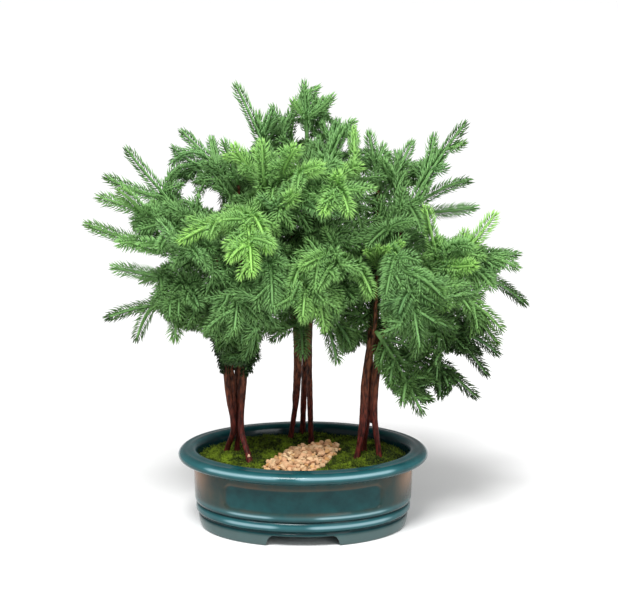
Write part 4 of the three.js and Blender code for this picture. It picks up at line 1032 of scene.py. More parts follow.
def add_needled_twig(foliage, twig, up, openness):
    """A twig with its needles; the path's end is where the last needles' tips come to."""
    path = twig["path"]
    length = path_lengths(path)[-1]
    places, _ = along_path(path, np.linspace(0, length - END_NEEDLES * twig["size"], 3 * len(path)))
    add_twig(foliage, places, twig, up)
    add_needles(foliage, places, twig, up, openness, pitch=NEEDLE_PITCH / max(twig["size"], 1) ** 2)


# Fine sprays


def openness_at(point):
    """Wide, combed needles at the front, and needles that hug the twig at the back and the top."""
    above = max(point[2] - CLOSING_HEIGHT, 0)
    openness = MIDDLE_OPENNESS - point[1] / OPENING_DEPTH - above / CLOSING_STRETCH
    return float(np.clip(openness, LEAST_OPENNESS, 1))


def fine_twig(path, radius, first, youth, shade=0.0, size=1.0):
    """A needled twig: its path and radius, where its needles start, how young and big they are, and how
    much painted shade darkens them."""
    return {"path": path, "radius": radius, "first": first, "youth": youth, "shade": shade, "size": size}


def is_long(path, least=SHORTEST_TWIG):
    return len(path) > 2 and path_lengths(path)[-1] > least


def side_path(carrier, distance, side_and_lift, aim, reach, drop, rise):
    """A side twig's path from a distance along its carrier, as far as it stays inside the canopy."""
    (place,), (tangent,) = along_path(carrier, [distance])
    across, lift = twig_frames(tangent, SPRAY_UP)
    side = unit(across * side_and_lift[0] + lift * side_and_lift[1])
    tip = place + (tangent * aim[0] + side * aim[1]) * reach - (0, 0, drop)
    return trimmed(arched_path(place, tip, rise, SIDE_STEPS))


def infill_twigs(carrier, high, youth, random):
    """Short side twigs along a twig as far as a share of its length, to both sides of it."""
    length = path_lengths(carrier)[-1]
    twigs = []
    hand = 1
    for distance in np.arange(INFILL_START * length, high * length, INFILL_PITCH):
        hand = -hand
        start = distance + random.normal(0, INFILL_SHIFT)
        lean = random.normal(*INFILL_LEAN)
        spread = INFILL_ANGLE + random.normal(0, INFILL_ANGLE_JITTER)
        reach = min(INFILL_REACH, INFILL_SHARE * length) * random.uniform(*INFILL_RANGE)
        aim, rise = (math.cos(spread), math.sin(spread)), random.uniform(*INFILL_RISES)
        path = side_path(carrier, start, (hand, lean), aim, reach, INFILL_DROP, rise)
        if is_long(path):
            twigs.append(fine_twig(path, BRANCHLET_RADIUS, BRANCHLET_BARE, youth, INFILL_SHADE))
    return twigs


def spray_twigs(spray, number):
    """The twigs of a spray's fine foliage: its own, and short ones that fill it."""
    random = np.random.default_rng(SPRAY_SEED + number)
    youth, shade = YOUNG_SPRAYS.get(number, MATURE), SHADED_SPRAYS.get(number, 0.0)
    main = arched_path(spray["root"], spray["end"], spray["rise"], 3 * CURVE_STEPS)
    own = [fine_twig(main, OWN_RADIUS, MAIN_BARE * spray["length"], youth, shade, OWN_SIZE)]
    for twig in spray["twigs"]:
        path = arched_path(twig["start"], twig["end"], twig["rise"], 3 * BRANCHLET_STEPS)
        twig_youth = float(np.clip(youth + random.normal(0, YOUTH_JITTER), 0, 1))
        own.append(fine_twig(path, OWN_RADIUS, OWN_BARE, twig_youth, shade, OWN_SIZE))
    infill = []
    for twig in own:
        high = MAIN_INFILL_END if twig is own[0] else SIDE_INFILL_END
        infill += infill_twigs(twig["path"], high, MATURE + YOUNG_INFILL * (youth - MATURE), random)
    return own + infill


def inner_twigs(spray, number):
    """The twigs of a clump's inner boughs, each with side twigs of its own, which fill the canopy."""
    random = np.random.default_rng(INNER_SEED + number)
    main = arched_path(spray["root"], spray["end"], spray["rise"], 3 * CURVE_STEPS)
    twigs = [fine_twig(main, TWIG_RADIUS, SHOOT_BARE, MATURE)]
    for bough in spray["twigs"]:
        path = trimmed(arched_path(bough["start"], bough["end"], bough["rise"], 3 * BRANCHLET_STEPS))
        if len(path) < FEWEST_POINTS:
            continue
        twigs.append(fine_twig(path, BRANCHLET_RADIUS, INNER_BARE, MATURE, INNER_SHADE))
        length = path_lengths(path)[-1]
        hand = 1
        for distance in np.arange(INNER_FIRST, length - INNER_LAST, INNER_TWIG_STEP):
            hand = -hand
            lean = random.normal(*INNER_LEAN)
            reach = (INNER_REACH - INNER_LOSS * distance) * random.uniform(*INNER_RANGE)
            twig = side_path(path, distance, (hand, lean), INNER_AIM, reach, INNER_DROP, INNER_RISE)
            if is_long(twig, INNER_SHORTEST):
                twigs.append(fine_twig(twig, BRANCHLET_RADIUS, BRANCHLET_BARE, MATURE, INNER_SHADE))
    return twigs


def empty_places():
    """A grid of places inside the canopy's outline, across and up, as seen from the front."""
    outline = np.array(CANOPY_OUTLINE, float)
    low, high = outline.min(axis=0), outline.max(axis=0)
    across, up = np.meshgrid(np.arange(low[0], high[0], FILL_STEP), np.arange(low[1], high[1], FILL_STEP))
    places = np.stack([across.ravel(), up.ravel()], axis=1)
    return places[inside_canopy(at_depth(places, np.zeros(len(places))))]


class Filling:
    """The places that twigs already reach and how far from them each place in the canopy appears, to
    grow more twigs where it looks empty from the front."""

    def __init__(self, pieces):
        self.random = np.random.default_rng(FILL_SEED)
        self.pieces, self.targets = pieces, empty_places()
        self.gaps = np.full(len(self.targets), FAR_AWAY)
        self.points, self.tangents, self.flats = np.zeros((0, 3)), np.zeros((0, 3)), np.zeros((0, 2))
        self.owners = []
        for owner, piece in enumerate(pieces):
            for twig in piece["twigs"]:
                self.count_in(twig["path"], owner, twig["youth"])

    def count_in(self, path, owner, youth):
        """Takes a twig's places into account, each with the piece that it belongs to and its youth."""
        length = path_lengths(path)[-1]
        low, high = FILL_STRETCH
        places, directions = along_path(path, np.arange(low * length, high * length, FILL_SAMPLE))
        flat = seen_from_front(places)
        gaps = np.linalg.norm(self.targets[:, None] - flat[None], axis=-1).min(axis=1)
        self.gaps = np.minimum(self.gaps, gaps)
        self.points = np.concatenate([self.points, places])
        self.tangents = np.concatenate([self.tangents, directions])
        self.flats = np.concatenate([self.flats, flat])
        self.owners += [(owner, youth)] * len(places)

    def grow_towards(self, pick, length):
        """Grows a twig to a place from one that appears about a length away, and already points there."""
        target = self.targets[pick]
        goal = at_depth(target[None], self.points[:, 1] + self.random.uniform(*FILL_BEHIND))
        steps = goal - self.points
        misfit = np.abs(np.linalg.norm(self.flats - target, axis=1) - length)
        ahead = (unit(steps) * self.tangents).sum(axis=1)
        best = np.argsort(misfit + TURN_COST * np.maximum(TURNED_BACK - ahead, 0))
        for start in best[FILL_TRIES]:
            root, step = self.points[start], steps[start]
            end = root + step * (1 + FILL_OVER / np.linalg.norm(step))
            whole = arched_path(root, end, self.random.uniform(*FILL_RISES), SHORT_STEPS)
            path = trimmed(whole)
            if len(path) > FILL_KEPT * len(whole) and is_long(path):
                owner, youth = self.owners[start]
                twig = fine_twig(path, BRANCHLET_RADIUS, BRANCHLET_BARE, youth, FILL_SHADE)
                self.pieces[owner]["twigs"].append(twig)
                self.count_in(path, owner, youth)
                return


def fill_empty_places(pieces):
    """Grows twigs to the places that look empty, those nearest to a twig first, and then a second
    layer of longer ones over the whole canopy."""
    filling = Filling(pieces)
    tried = np.zeros(len(filling.targets), bool)
    while True:
        waiting = np.where((filling.gaps > FILL_GAP) & ~tried, filling.gaps, FAR_AWAY)
        pick = int(np.argmin(waiting))
        if waiting[pick] > FILL_REACH:
            break
        tried[pick] = True
        filling.grow_towards(pick, 0)
    filling.gaps[:] = FAR_AWAY
    for pick in filling.random.permutation(len(filling.targets)):
        if filling.gaps[pick] > SECOND_GAP:
            filling.grow_towards(pick, SECOND_LENGTH)


def make_foliage(piece, seed, material):
    foliage = Foliage(seed)
    for twig in piece["twigs"]:
        add_needled_twig(foliage, twig, SPRAY_UP, openness_at(twig["path"][-1]))
    foliage.make(f"{piece['node']}_foliage", material, node=piece["node"])


def make_stem_needles(material):
    """The needles that the stems still wear, and the collar of hanging twigs round the left clump, both dark
    with painted shade.
    """
    foliage = Foliage(STEM_NEEDLE_SEED)
    random = foliage.random
    for name, stem in STEMS.items():
        heights = np.arange(COLLAR_LOWEST[name.split("_")[0]], stem[0][-1][2], WORN_STEP)
        path = np.array([stem_place(stem, height) for height in heights])
        twig = fine_twig(path, WORN_RADIUS, first=0, youth=0, shade=1)
        add_twig(foliage, path, twig, COLLAR_UP)
        add_needles(foliage, path, twig, COLLAR_UP, WORN_OPENNESS, WORN_PITCH)
    turn = 0.0
    low, high = COLLAR_HEIGHTS
    for height in np.linspace(low, high, COLLAR_TWIGS):
        turn += GOLDEN_TURN
        outward = np.array([math.cos(turn), math.sin(turn), 0])
        stem = max((STEMS[name] for name in STEMS if name.startswith("left")),
                   key=lambda stem: float(stem_place(stem, height).dot(outward)))
        start = stem_place(stem, height)
        spread = COLLAR_SPREAD * (height - low) / (high - low)
        drop = COLLAR_DROP * random.uniform(*COLLAR_DROP_RANGE)
        end = start + outward * (COLLAR_REACH + spread) - (0, 0, drop)
        twig = fine_twig(arched_path(start, end, COLLAR_RISE, SHORT_STEPS), COLLAR_RADIUS, first=1, youth=0,
                         shade=1, size=COLLAR_SIZE)
        add_needled_twig(foliage, twig, COLLAR_UP, COLLAR_OPENNESS)
    foliage.make("stem_needles", material)


# Pot


def eased_profile():
    """The pot's wall as a smooth line through its profile, with close rows where the panel is cut; the
    foot ring's underside and the floor inside stay straight."""
    rows = []
    last = len(POT_PROFILE) - 1
    profile = np.array(POT_PROFILE, float)
    for k in range(last):
        start, end = profile[k], profile[k + 1]
        before, after = profile[max(k - 1, 0)], profile[min(k + 2, last)]
        is_wall = start[1] == WALL_FROM
        is_straight = is_wall or k in (0, 1, last - 2, last - 1)
        count = WALL_ROWS if is_wall else EASED_ROWS
        for t in np.arange(count) / count:
            if is_straight:
                rows.append(start + (end - start) * t)
                continue
            square = (2 * before - 5 * start + 4 * end - after) * t ** 2
            cube = (3 * start - before - 3 * end + after) * t ** 3
            rows.append(0.5 * (2 * start + (end - before) * t + square + cube))
    rows.append(profile[last])
    return np.array(rows)


def pot_angles():
    """Directions round the pot, closer together where the arches and the panels end."""
    angles = list(circle_turns(POT_DIRECTIONS))
    for edge, inset, shifts in CLOSE_DIRECTIONS:
        for shift in np.linspace(*shifts):
            turn = math.acos((edge + shift) / (POT_HALF_LENGTH - inset))
            angles += [turn, math.pi - turn, math.pi + turn, 2 * math.pi - turn]
    return np.array(sorted(angles))


def panel_mask(x, z):
    """1 inside the recessed panel and 0 outside, easing over its edge, and the distance from that edge."""
    half_height = (PANEL_TOP - PANEL_BOTTOM) / 2
    dx = np.abs(x) - (PANEL_HALF_WIDTH - PANEL_CORNER)
    dz = np.abs(z - (PANEL_TOP + PANEL_BOTTOM) / 2) - (half_height - PANEL_CORNER)
    beyond = np.hypot(np.maximum(dx, 0), np.maximum(dz, 0)) + np.minimum(np.maximum(dx, dz), 0)
    beyond = beyond - PANEL_CORNER
    return smooth_step(PANEL_EDGE, -PANEL_EDGE, beyond), beyond


def glaze_tint(x, z, turn, is_outside, on_wall, in_panel, panel_edge):
    """Where the glaze is a pale crest with painted highlights on stretches and at the inner rim, thin and
    brown, clay that shows through and partly a painted reflection at the ends, and painted shade in the
    grooves and on the inner wall.
    """
    crest_and_highlight = np.zeros_like(x)
    for height, width, level, highlight_stretches in CRESTS_AND_HIGHLIGHTS:
        painted_highlight = sum(smooth_step(low - HIGHLIGHT_EDGE, low + HIGHLIGHT_EDGE, x)
                    * smooth_step(high + HIGHLIGHT_EDGE, high - HIGHLIGHT_EDGE, x) for low, high in highlight_stretches)
        crest_and_highlight = crest_and_highlight + bell(z, height, width) * (level + (1 - level) * painted_highlight) * is_outside
    foot = smooth_step(*FOOT_HEIGHTS, z)
    crest_and_highlight = crest_and_highlight + FOOT_CREST * foot * is_outside + INNER_HIGHLIGHT_STRENGTH * bell(z, *INNER_RIM_HIGHLIGHT) * ~is_outside
    thin = np.where(on_wall, (1 - in_panel) * smooth_step(*BARE_HEIGHTS, z), 0)
    thin = thin + bell(panel_edge, 0, PANEL_LINE) * on_wall
    # Brown at the pot's ends: clay through thin glaze, and partly a painted reflection
    clay_and_reflection = smooth_step(*END_TURNS, np.abs(np.cos(turn))) * smooth_step(*END_HEIGHTS, z) * on_wall
    top_line = TOP_LINE * bell(panel_edge, 0, TOP_LINE_WIDTH) * on_wall * smooth_step(*TOP_LINE_HEIGHTS, z)
    clay_and_reflection = clay_and_reflection + FOOT_CLAY * foot + top_line
    # Painted shade in the grooves, and on the inner wall below the rim
    groove_and_inner_shade = sum(bell(z, height, width) for height, width in GROOVE_SHADES)
    groove_and_inner_shade = np.where(is_outside, groove_and_inner_shade, INNER_WALL_SHADE * smooth_step(*INNER_HEIGHTS, z))
    return np.stack([np.clip(crest_and_highlight, 0, 1), np.clip(thin, 0, 1), clay_and_reflection, np.clip(groove_and_inner_shade, 0, 1)], axis=-1)


def make_pot(material):
    rows, angles = eased_profile(), pot_angles()
    count = len(angles)
    inset, turn = np.meshgrid(rows[:, 0], angles, indexing="ij")
    z = np.repeat(rows[:, 1:], count, axis=1)
    is_outside = np.broadcast_to(np.arange(len(rows))[:, None] < np.argmax(rows[:, 1]), z.shape)
    in_panel, panel_edge = panel_mask((POT_HALF_LENGTH - inset) * np.cos(turn), z)
    on_wall = is_outside & (z > PANEL_ZONE[0]) & (z < PANEL_ZONE[1])
    inset = inset + np.where(on_wall, PANEL_DEPTH * in_panel, 0)
    x, y = (POT_HALF_LENGTH - inset) * np.cos(turn), (POT_HALF_WIDTH - inset) * np.sin(turn)
    rise = np.clip((ARCH_HALF_WIDTH - np.abs(x)) / ARCH_CORNER, 0, 1)
    arch = ARCH_TOP * np.sqrt(1 - (1 - rise) ** 2)
    in_arch = np.maximum(z, np.minimum(arch, z + FLOOR_UNDERSIDE))
    z = np.where(is_outside & (z < ARCH_ZONE), in_arch, z)
    wobble = bumps(np.stack([x.ravel(), y.ravel(), z.ravel()], axis=1), WOBBLE_SIZE).reshape(x.shape)
    z = z + np.where(z > WOBBLE_FROM, WOBBLE * wobble, 0)
    points = np.stack([x, y, z], axis=-1).reshape(-1, 3)
    first, last = end_rings(len(rows), count)
    fans = [fan_faces(first, len(points), False), fan_faces(last, len(points) + 1, True)]
    points = np.concatenate([points, [[0, 0, FLOOR_UNDERSIDE], [0, 0, FLOOR_TOP]]])
    tint = glaze_tint(x, z, turn, is_outside, on_wall, in_panel, panel_edge)
    tint = np.concatenate([tint.reshape(-1, 4), np.zeros((2, 4))])
    make_piece("glazed_pot", points, [grid_faces(len(rows), count), np.concatenate(fans)], material,
               node="pot", tint=tint, sharp_angle=50)


# Moss and gravel


def moss_height(x, y):
    """The moss's gentle mounds."""
    broad = BROAD_MOUND * np.sin(x / BROAD_ACROSS + BROAD_SHIFT) * np.cos(y / BROAD_BACK)
    return MOSS_TOP + broad + FINE_MOUND * np.sin(x / FINE_ACROSS + y / FINE_BACK)


def gravel_edge(x, y):
    """How far points lie inside the gravel's outline, in millimetres."""
    inside = np.full(np.shape(x), FAR_AWAY)
    for (x0, y0), (x1, y1) in zip(GRAVEL_PLAN, GRAVEL_PLAN[1:] + GRAVEL_PLAN[:1]):
        side = ((x1 - x0) * (y - y0) - (y1 - y0) * (x - x0)) / math.hypot(x1 - x0, y1 - y0)
        inside = np.minimum(inside, -side)
    return inside


def moss_places(share, turn):
    """Places on the moss, from the share of the way to its edge and the direction."""
    return ((POT_HALF_LENGTH - MOSS_INSET) * share * np.cos(turn),
            (POT_HALF_WIDTH - MOSS_INSET) * share * np.sin(turn))


def moss_share(x, y):
    return np.hypot(x / (POT_HALF_LENGTH - MOSS_INSET), y / (POT_HALF_WIDTH - MOSS_INSET))


def moss_surface(x, y):
    """The mossy ground: mounds, clumps and a hollow under the gravel."""
    ground = moss_height(x, y)
    ground = ground + (MOSS_EDGE - MOSS_DROP - ground) * smooth_step(*MOSS_DROP_SHARES, moss_share(x, y))
    return level_bumps(x, y, ground, GROUND_BUMPS) - HOLLOW * smooth_step(*HOLLOW_EDGE, gravel_edge(x, y))


def moss_light(x, y):
    """Where the moss is bright: in patches, at its left end and along the gravel, with painted shade at its
    right end and at its rim.
    """
    patches = level_bumps(x, y, PLAIN_PATCH, BRIGHT_PATCHES)
    light = PATCH_LIGHT * patches + LEFT_LIGHT * smooth_step(*LEFT_END, x)
    light = light + GRAVEL_LIGHT * bell(gravel_edge(x, y), *GRAVEL_BAND)
    light = light - RIGHT_SHADE * smooth_step(*RIGHT_END, x)
    return np.clip(light - RIM_SHADE * smooth_step(*RIM_SHARES, moss_share(x, y)), 0, 1)


def make_moss(material):
    share = np.sqrt(np.linspace(MOSS_MIDDLE, 1, MOSS_RINGS))
    x, y = moss_places(share[:, None], circle_turns(MOSS_SPOKES)[None])
    x, y = x.ravel(), y.ravel()
    points = np.stack([x, y, moss_surface(x, y)], axis=1)
    middle = len(points)
    points = np.concatenate([points, [[0, 0, points[:MOSS_SPOKES, 2].mean()]]])
    tint = np.zeros((len(points), 4))
    tint[:-1, 0] = moss_light(x, y)
    tint[:, 3] = 1
    faces = [grid_faces(MOSS_RINGS, MOSS_SPOKES), fan_faces(np.arange(MOSS_SPOKES), middle, True)[:, ::-1]]
    make_piece("moss_ground", points, faces, material, node="moss", tint=tint)


def make_moss_tufts(material):
    """Small three-sided spikes all over the moss, each leaning its own way."""
    random = np.random.default_rng(TUFT_SEED)
    share = np.sqrt(random.uniform(0, 1, MOSS_TUFTS)) * TUFTS_REACH
    x, y = moss_places(share, random.uniform(0, 2 * np.pi, MOSS_TUFTS))
    keep = gravel_edge(x, y) < TUFTS_UNDER_GRAVEL
    x, y = x[keep], y[keep]
    total = len(x)
    base = np.stack([x, y, moss_surface(x, y) - TUFT_DEPTH], axis=1)
    lean = np.concatenate([random.normal(0, TUFT_LEAN, (total, 2)), np.ones((total, 1))], axis=1)
    tips = base + lean * random.uniform(*TUFT_HEIGHTS, total)[:, None]
    spin = random.uniform(0, 2 * np.pi, total)[:, None] + circle_turns(3)[None]
    width = random.uniform(*TUFT_WIDTHS, total)[:, None]
    corners = np.stack([width * np.cos(spin), width * np.sin(spin), np.zeros((total, 3))], axis=-1)
    points = np.concatenate([base[:, None, :] + corners, tips[:, None, :]], axis=1).reshape(-1, 3)
    triangles = repeated_faces(np.array([(0, 2, 1), (0, 1, 3), (1, 2, 3), (2, 0, 3)]), 4, total)
    tint = np.zeros((total, 4, 4))
    tint[:, :, 0] = np.clip(moss_light(x, y) + random.normal(0, TUFT_UNEVEN, total), 0, 1)[:, None]
    tint[:, 3, 1] = 1
    tint[:, :, 3] = 1
    make_piece("moss_tufts", points, [triangles], material, tint=tint.reshape(-1, 4))


def sphere_shape(rows=6, columns=9):
    """A ball of radius 1 as points and triangles, used for pebbles and buds."""
    points, triangles = [(0, 0, -1)], []
    for i in range(1, rows):
        tilt = math.pi * i / rows
        for j in range(columns):
            turn = 2 * math.pi * (j + 0.5 * (i % 2)) / columns
            level = math.sin(tilt)
            points.append((level * math.cos(turn), level * math.sin(turn), -math.cos(tilt)))
    points.append((0, 0, 1))
    for j in range(columns):
        after = (j + 1) % columns
        triangles += [(0, 1 + after, 1 + j)]
        for i in range(rows - 2):
            low, high = 1 + i * columns, 1 + (i + 1) * columns
            triangles += [(low + j, low + after, high + after), (low + j, high + after, high + j)]
        last = 1 + (rows - 2) * columns
        triangles += [(last + j, last + after, len(points) - 1)]
    return np.array(points), np.array(triangles)


def pebble_places(random):
    """Places and sizes of the pebbles, in a bed that is heaped in the middle."""
    places = []
    for layer, inset in enumerate(LAYER_INSETS):
        for row, y in enumerate(np.arange(*BED_BACK, PEBBLE_SPACING * ROW_SHARE)):
            for x in np.arange(*BED_ACROSS, PEBBLE_SPACING) + (row % 2) * PEBBLE_SPACING / 2:
                px, py = x + random.normal(0, PEBBLE_SHIFT), y + random.normal(0, PEBBLE_SHIFT)
                px, py = px + LAYER_SHIFT[0] * layer, py + LAYER_SHIFT[1] * layer
                is_in_bed = gravel_edge(np.array([px]), np.array([py]))[0] > inset
                if is_in_bed and random.uniform() > PEBBLES_LEFT_OUT:
                    radius = random.uniform(*PEBBLE_RADII)
                    height = MOSS_TOP - BED_DEPTH + LAYER_RISE * layer + random.normal(0, BED_UNEVEN)
                    places.append((px, py, height, radius))
    return places


def turned_shape(shape, turn, tilt):
    """A shape tilted about its long axis and then turned about the vertical."""
    spin = np.array([(math.cos(turn), -math.sin(turn), 0), (math.sin(turn), math.cos(turn), 0), (0, 0, 1)])
    tip = np.array([(1, 0, 0), (0, math.cos(tilt), -math.sin(tilt)), (0, math.sin(tilt), math.cos(tilt))])
    return shape @ (spin @ tip).T


def make_gravel(material):
    """Stretched balls with flat chips struck off them, heaped in a bed."""
    random = np.random.default_rng(PEBBLE_SEED)
    ball, pattern = sphere_shape()
    points, tints = [], []
    for px, py, pz, radius in pebble_places(random):
        shape = ball * random.uniform(*PEBBLE_STRETCHES)
        for _ in range(PEBBLE_CHIPS):
            facing = unit(random.normal(0, 1, 3))
            over = np.maximum(shape @ facing - random.uniform(*CHIP_DEPTHS), 0)
            shape = shape - over[:, None] * facing
        turn, tilt = random.uniform(0, 2 * math.pi), random.normal(0, PEBBLE_TILT)
        points.append(turned_shape(shape, turn, tilt) * radius + (px, py, pz))
        tints.append(np.tile([random.uniform(), random.uniform(), random.uniform(), 1], (len(ball), 1)))
    triangles = repeated_faces(pattern, len(ball), len(points))
    make_piece("gravel_pebbles", np.concatenate(points), [triangles], material, node="gravel",
               tint=np.concatenate(tints), sharp_angle=24)


# Stems


def make_stem(name, stem, material, node=None):
    """A stem's flaking bark; without a node, a strand of bark as thick as its own measures say."""
    foot, top = stem[0][0][2] + (BARK_FOOT if node else 0), stem[0][-1][2]
    heights = np.arange(foot, top, BARK_STEP)
    middles = np.array([stem_place(stem, height) for height in heights])
    tangents = unit(np.gradient(middles, axis=0))
    radii = np.array([stem_radius(stem, height) for height in heights])
    if node:
        radii = radii + ROOT_FLARE * np.exp(-np.maximum(heights - FLARE_FOOT, 0) / FLARE_HEIGHT)
        bark = smooth_step(*BARK_THICKENS, heights) * smooth_step(*BARK_THINS, heights)
        radii = radii + BARK_THICKNESS * bark
    else:
        swell = smooth_step(foot + STRAND_SWELL[0], foot + STRAND_SWELL[1], heights)
        radii = radii * (STRAND_FOOT + (1 - STRAND_FOOT) * swell)
    turns = circle_turns(BARK_SIDES)
    out = rings_round(turns, *twig_frames(tangents, np.array([0, 1.0, 0])))
    rings = middles[:, None, :] + out * radii[:, None, None]
    rough = bumps(rings.reshape(-1, 3) * ROUGH_STRETCH, ROUGH_SIZE, ROUGH_SEED).reshape(rings.shape[:2])
    ridges = np.sin(RIDGES * turns[None, :] + heights[:, None] / RIDGE_TWIST)
    rings = rings + out * (ROUGH_DEPTH * rough + RIDGE_DEPTH * ridges)[:, :, None]
    points, quads, caps = closed_tube(rings, middles[:1], middles[-1:] + tangents[-1:] * BARK_CAP)
    tint = np.zeros((len(points), 4))
    tint[:, 0] = smooth_step(*CRIMSON_HEIGHTS, points[:, 2])
    tint[:, 3] = 1
    make_piece(name, points, [quads, caps], material, node=node, tint=tint)


# Materials


# The sockets that a mix node uses for colours: factor, low end and high end, and its result
COLOUR_MIX_INPUTS, COLOUR_MIX_OUTPUT = (0, 6, 7), 2


def new_material(name):
    material = bpy.data.materials.new(name)
    material.use_nodes = True
    tree = material.node_tree
    shader = tree.nodes["Principled BSDF"]
    return material, tree, shader


def link(tree, output, target):
    tree.links.new(output, target)


def set_inputs(node, **inputs):
    """Sets constants on a node's own sockets, whose names are written with _ for a space."""
    for key, value in inputs.items():
        node.inputs[key.replace("_", " ")].default_value = value


def add_node(tree, kind, **inputs):
    node = tree.nodes.new(kind)
    set_inputs(node, **inputs)
    return node


def feed(tree, value, socket):
    """Gives a socket an output to read, a colour or a number."""
    if isinstance(value, bpy.types.NodeSocket):
        link(tree, value, socket)
    else:
        socket.default_value = (*value, 1) if isinstance(value, tuple) else value


def mix_colour(tree, low, high, factor):
    """A colour mix whose ends are colours or outputs, and whose factor is a number or an output."""
    node = tree.nodes.new("ShaderNodeMix")
    node.data_type = "RGBA"
    for number, value in zip(COLOUR_MIX_INPUTS, (factor, low, high)):
        feed(tree, value, node.inputs[number])
    return node.outputs[COLOUR_MIX_OUTPUT]


def math_node(tree, operation, first, second, clamp=False):
    node = tree.nodes.new("ShaderNodeMath")
    node.operation = operation
    node.use_clamp = clamp
    feed(tree, first, node.inputs[0])
    feed(tree, second, node.inputs[1])
    return node.outputs[0]


def times(tree, first, second):
    return math_node(tree, "MULTIPLY", first, second)


def layered(tree, body, *layers):
    """Lays colours over a body colour one by one, each with its mask and how strongly it covers."""
    for colour, mask, share in layers:
        body = mix_colour(tree, body, colour, times(tree, mask, share))
    return body


def read_tint(tree):
    """The four values that a piece's mesh carries at each point."""
    attribute = tree.nodes.new("ShaderNodeAttribute")
    attribute.attribute_name = "tint"
    split = tree.nodes.new("ShaderNodeSeparateColor")
    link(tree, attribute.outputs["Color"], split.inputs[0])
    return [split.outputs[0], split.outputs[1], split.outputs[2], attribute.outputs["Alpha"]]


def make_uneven_group():
    """A shared effect: a mask that varies over the surface, and a height for bumps."""
    group = bpy.data.node_groups.new("uneven_surface", "ShaderNodeTree")
    for name, default in (("Size", 400.0), ("Stretch", 1.0), ("Low", 0.35), ("High", 0.65)):
        socket = group.interface.new_socket(name=name, in_out="INPUT", socket_type="NodeSocketFloat")
        socket.default_value = default
    for name in ("Mask", "Height"):
        group.interface.new_socket(name=name, in_out="OUTPUT", socket_type="NodeSocketFloat")
    entry, leave = group.nodes.new("NodeGroupInput"), group.nodes.new("NodeGroupOutput")
    place = group.nodes.new("ShaderNodeTexCoord")
    stretch = group.nodes.new("ShaderNodeCombineXYZ")
    stretch.inputs[0].default_value = stretch.inputs[1].default_value = 1.0
    scaled = group.nodes.new("ShaderNodeVectorMath")
    scaled.operation = "MULTIPLY"
    link(group, entry.outputs["Stretch"], stretch.inputs[2])
    link(group, place.outputs["Object"], scaled.inputs[0])
    link(group, stretch.outputs[0], scaled.inputs[1])
    cloud = add_node(group, "ShaderNodeTexNoise", Detail=4.0, Roughness=0.6)
    link(group, scaled.outputs[0], cloud.inputs["Vector"])
    link(group, entry.outputs["Size"], cloud.inputs["Scale"])
    band = group.nodes.new("ShaderNodeMapRange")
    link(group, cloud.outputs[0], band.inputs["Value"])
    link(group, entry.outputs["Low"], band.inputs["From Min"])
    link(group, entry.outputs["High"], band.inputs["From Max"])
    link(group, band.outputs[0], leave.inputs["Mask"])
    link(group, cloud.outputs[0], leave.inputs["Height"])
    return group


def uneven(tree, group, size, stretch=1.0, low=0.35, high=0.65):
    """The shared effect with a material's own values: its mask and its height."""
    node = tree.nodes.new("ShaderNodeGroup")
    node.node_tree = group
    set_inputs(node, Size=size, Stretch=stretch, Low=low, High=high)
    return node.outputs["Mask"], node.outputs["Height"]


def add_bump(tree, shader, height, strength, distance):
    bump = add_node(tree, "ShaderNodeBump", Strength=strength, Distance=distance)
    link(tree, height, bump.inputs["Height"])
    link(tree, bump.outputs[0], shader.inputs["Normal"])


def paint(tree, shader, colour, **inputs):
    """Gives a shader its colour, and its other values as constants."""
    link(tree, colour, shader.inputs["Base Color"])
    set_inputs(shader, **inputs)


def needle_material(group, name, dark, light, deep_shade):
    """Green needles: dark to light by their painted light and shade, yellow-green where young, painted olive
    shade deep inside and low down, painted shade at their roots and a painted highlight towards their tips.
    """
    material, tree, shader = new_material(name)
    youth, along, tone_and_painted_light, depth = read_tint(tree)
    patches, _ = uneven(tree, group, 22.0, low=0.36, high=0.64)
    shade = math_node(tree, "ADD", times(tree, tone_and_painted_light, 0.72), times(tree, patches, 0.28), clamp=True)
    body = mix_colour(tree, dark, light, shade)
    body = mix_colour(tree, body, (0.420, 0.780, 0.180), youth)
    # Painted shade at each needle's root, a painted highlight towards its tip, and near-black painted shade
    # where the tone falls below 0
    root = math_node(tree, "SUBTRACT", 0.5, along, clamp=True)
    painted_black_shade = math_node(tree, "MULTIPLY", tone_and_painted_light, -1.0, clamp=True)
    body = layered(tree, body, (deep_shade, depth, 0.45), (light, along, 0.16),
                   ((0.014, 0.055, 0.012), root, 0.8), ((0.008, 0.026, 0.005), painted_black_shade, 0.9))
    paint(tree, shader, body, Roughness=0.5, Specular_IOR_Level=0.14)
    return material


